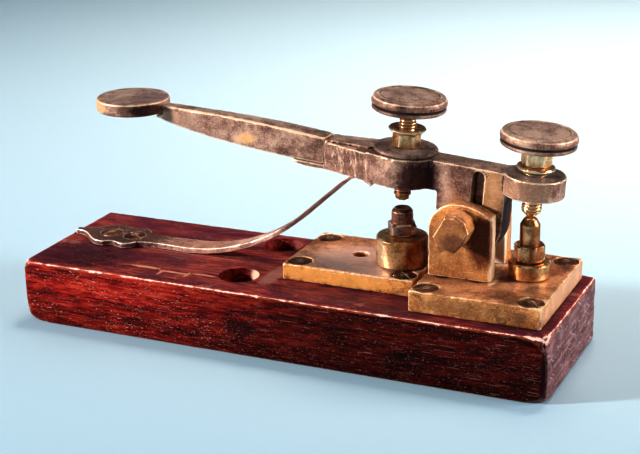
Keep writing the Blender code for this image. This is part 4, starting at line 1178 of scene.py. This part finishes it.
def make_lever_hardware():
    contact, stop = "contact_screw_turn", "stop_screw_turn"
    make_finger_disc()
    make_thumbscrew("contact_screw", "contact_thumb", contact, "contact_thumbscrew", CONTACT_STEM)
    make_thumbscrew("stop_screw", "stop_thumb", stop, "stop_thumbscrew", STOP_STEM)
    make_tip("contact_screw_tip", "contact_point", contact, "contact_travel",
             (0.0016, 0.0003), (0.0004, 0.0002), 0.0014)
    make_tip("stop_screw_tip", "stop_point", stop, "stop_travel",
             (0.0012, 0.0006), (0.0017, 0.0003), 0.0021)
    make_washer()
    make_contact_nut()
    make_stop_nut()


# ---- anvils
def make_post(node, name, rim):
    place = upright_place(node)
    low, high, radius = measure(node, place)
    outline = section([
        (radius - 0.0002, low, 0.0001),
        (radius, low + 0.0003, 0.0002),
        (radius, high - rim, 0.0002),
        (radius - rim * 0.8, high, 0.0002),
    ])
    lathe_piece(node, name, outline, place, "turned_brass", "base", 128)


def make_pin(node, name, seat, radius, corners, material):
    """An anvil pin above its nut; corners shape its top, as (inset, drop from the top, rounding)."""
    place = upright_place(node)
    _, high, _ = measure(node, place)
    outline = [(radius - 0.0003, seat - 0.0008, 0.0), (radius, seat, 0.0002)]
    outline += [(radius - inset, high - drop, rounding) for inset, drop, rounding in corners]
    lathe_piece(node, name, section(outline), place, material, "base")


ANVIL_BORE = 0.0024
CONTACT_PIN_RADIUS, STOP_PIN_RADIUS = 0.0034, 0.003
CONTACT_PIN_TOP = (
    (0.0001, 0.0012, 0.0004),
    (0.001, 0.0001, 0.0006),
    (0.0016, 0.0, 0.0003),
    (0.0024, 0.0003, 0.0004),
)
STOP_PIN_TOP = ((0.0, 0.002, 0.0008), (0.0009, 0.0004, 0.0008), (0.0014, 0.0, 0.0006))


def make_anvils():
    make_post("contact_anvil_post", "contact_post", 0.0005)
    make_post("stop_anvil_post", "stop_collar", 0.0006)
    for side, nut_name, material, sides, flats, turn, radius, corners in (
        ("contact", "contact_square_nut", "dark_steel", 4, 0.0077, -13, CONTACT_PIN_RADIUS, CONTACT_PIN_TOP),
        ("stop", "stop_hexagon_nut", "turned_brass", 6, 0.0084, 1, STOP_PIN_RADIUS, STOP_PIN_TOP),
    ):
        place = upright_place(side + "_anvil_post")
        node, pin = side + "_anvil_nut", side + "_anvil_pin"
        _, top, _ = measure(node, place)
        make_nut(node, nut_name, place, "base", material, ANVIL_BORE, sides, flats, radians(turn))
        make_pin(pin, pin + "_fine", top, radius, corners, material)


# ---- slotted screws
SCREW_HEAD, SCREW_SHANK = 0.0036, 0.0015
SLOT_HALF_WIDTH, SLOT_DEPTH = 0.00042, 0.001
SCREW_SETS = (
    # owner, how many, angle of the first slot from +X in degrees, and the step to the next
    ("front_plate", 4, 35, 50),
    ("rear_plate", 4, 35, 50),
    ("spring", 2, 70, -110),
)


def make_slotted_screw(node, angle):
    place = upright_place(node)
    _, top, _ = measure(node, place)
    outline = section([
        (SCREW_SHANK, top - 0.004, 0.0),
        (SCREW_SHANK, top - 0.0022, 0.0),
        (SCREW_HEAD, top - 0.0006, 0.0001),
        (SCREW_HEAD, top - 0.00025, 0.0002),
        (SCREW_HEAD * 0.6, top, 0.001),
    ])
    screw = turned(node.replace("screw", "slotted"), outline, place, 64)
    x, y = 2 * SCREW_HEAD, SLOT_HALF_WIDTH
    slot = slab("slot", [(-x, -y), (x, -y), (x, y), (-x, y)], top - SLOT_DEPTH, top + 0.001, 0.00012)
    slot.data.transform(place @ Matrix.Rotation(radians(angle), 4, "Z"))
    subtract(screw, [slot])
    mark_wear(screw, 0.0004, 0)
    finish_piece(screw, "dark_steel", "base", node)


def make_screws():
    for owner, count, start, step in SCREW_SETS:
        for index in range(count):
            make_slotted_screw(f"{owner}_screw_{index + 1}", start + step * index)


# ---- return spring
SPRING_Y = 0.0024
SPRING_THICKNESS, SPRING_TIP_THICKNESS = 0.0018, 0.0011
BLADE_START_X, BLADE_HALF_WIDTH, BLADE_TIP_HALF_WIDTH = -0.042, 0.0042, 0.0021
BLADE_BENDS = (
    # length of each stretch, and how far it bends up, in degrees
    (0.0005, 0), (0.008, 8), (0.038, 34), (0.0202, 0), (0.006, -77), (0.0028, 0))
SEAT_HEAD, SEAT_SHANK = 0.0039, 0.0018


def ogee(start, end, bulge, waves, steps):
    """Points from start to just before end, swelling outwards by bulge in half or full waves."""
    result = []
    for i in range(steps):
        t = i / steps
        x = start[0] + (end[0] - start[0]) * t
        y = start[1] + (end[1] - start[1]) * t
        result.append((x, y + bulge * sin(waves * pi * t)))
    return result


def foot_outline():
    """Plan view of the spring's foot: a pointed tail, two cusps a side, then the blade's width."""
    side = ogee((-0.085, 0.0012), (-0.0703, 0.0084), -0.0012, 2, 24)
    side += ogee((-0.0703, 0.0084), (-0.0604, 0.0068), -0.001, 2, 18)
    side += [(-0.0604, 0.0068), (-0.0592, 0.005)]
    side += ogee((-0.0575, 0.0044), (-0.043, BLADE_HALF_WIDTH), -0.0005, 1, 12)
    side.append((BLADE_START_X + 0.001, BLADE_HALF_WIDTH))
    return [(x, SPRING_Y - y) for x, y in side] + [(x, SPRING_Y + y) for x, y in reversed(side)]


def blade_rings():
    """Cross-sections of the blade, at every degree of its bends."""
    x, z, heading = BLADE_START_X, BASE_TOP + GAP + SPRING_THICKNESS / 2, 0.0
    total = sum(length for length, _ in BLADE_BENDS)
    travelled, rings = 0.0, []

    def ring():
        share = travelled / total
        half = BLADE_HALF_WIDTH + (BLADE_TIP_HALF_WIDTH - BLADE_HALF_WIDTH) * share
        thick = (SPRING_THICKNESS + (SPRING_TIP_THICKNESS - SPRING_THICKNESS) * share) / 2
        dx, dz = -sin(heading) * thick, cos(heading) * thick
        return [(x - dx, SPRING_Y - half, z - dz), (x - dx, SPRING_Y + half, z - dz),
                (x + dx, SPRING_Y + half, z + dz), (x + dx, SPRING_Y - half, z + dz)]

    rings.append(ring())
    for length, bend in BLADE_BENDS:
        steps = max(1, abs(bend))
        for _ in range(steps):
            heading += radians(bend) / steps / 2
            x += length / steps * cos(heading)
            z += length / steps * sin(heading)
            heading += radians(bend) / steps / 2
            travelled += length / steps
            rings.append(ring())
    return rings


def screw_seat(node, low):
    """A countersunk hole for one of the spring's screws."""
    place = upright_place(node)
    _, top, _ = measure(node, place)
    outline = section([
        (SEAT_SHANK, low - 0.001, 0.0),
        (SEAT_SHANK, top - 0.0025, 0.0),
        (SEAT_HEAD, top - 0.0006, 0.0),
        (SEAT_HEAD, top + 0.002, 0.0),
    ])
    return turned("seat", outline, place, 48)


def make_spring():
    low = BASE_TOP + GAP
    foot = slab("foot", foot_outline(), low, low + SPRING_THICKNESS, 0.0002)
    spring = merge("leaf_spring", [foot, rings_object("blade", blade_rings())])
    seats = [screw_seat(node, low) for node in ("spring_screw_1", "spring_screw_2")]
    remesh(spring, 0.00022, 3)
    subtract(spring, seats)
    mark_wear(spring, 0.0004)
    roughen(spring, 0.00003, 0.004, edges=0.0002, seed=5.0)
    dress(spring, "spring_brass", "return_spring", 40)
    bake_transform(spring)


def paint_hidden_nodes():
    """CAD nodes that stay, out of sight under the plates, get the worn steel."""
    cheek_screws = [f"cheek_screw_{index + 1}" for index in range(4)]
    for node in [*cheek_screws, "contact_anvil_screw", "stop_anvil_screw"]:
        mesh = frame["nodes"][node].data
        mesh.materials.clear()
        mesh.materials.append(MATERIALS["dark_steel"])


# ---- the whole model
make_camera()
make_lights()
make_floor()
MATERIALS = make_materials()
make_base()
make_castings()
make_lever_hardware()
make_anvils()
make_screws()
make_spring()
paint_hidden_nodes()
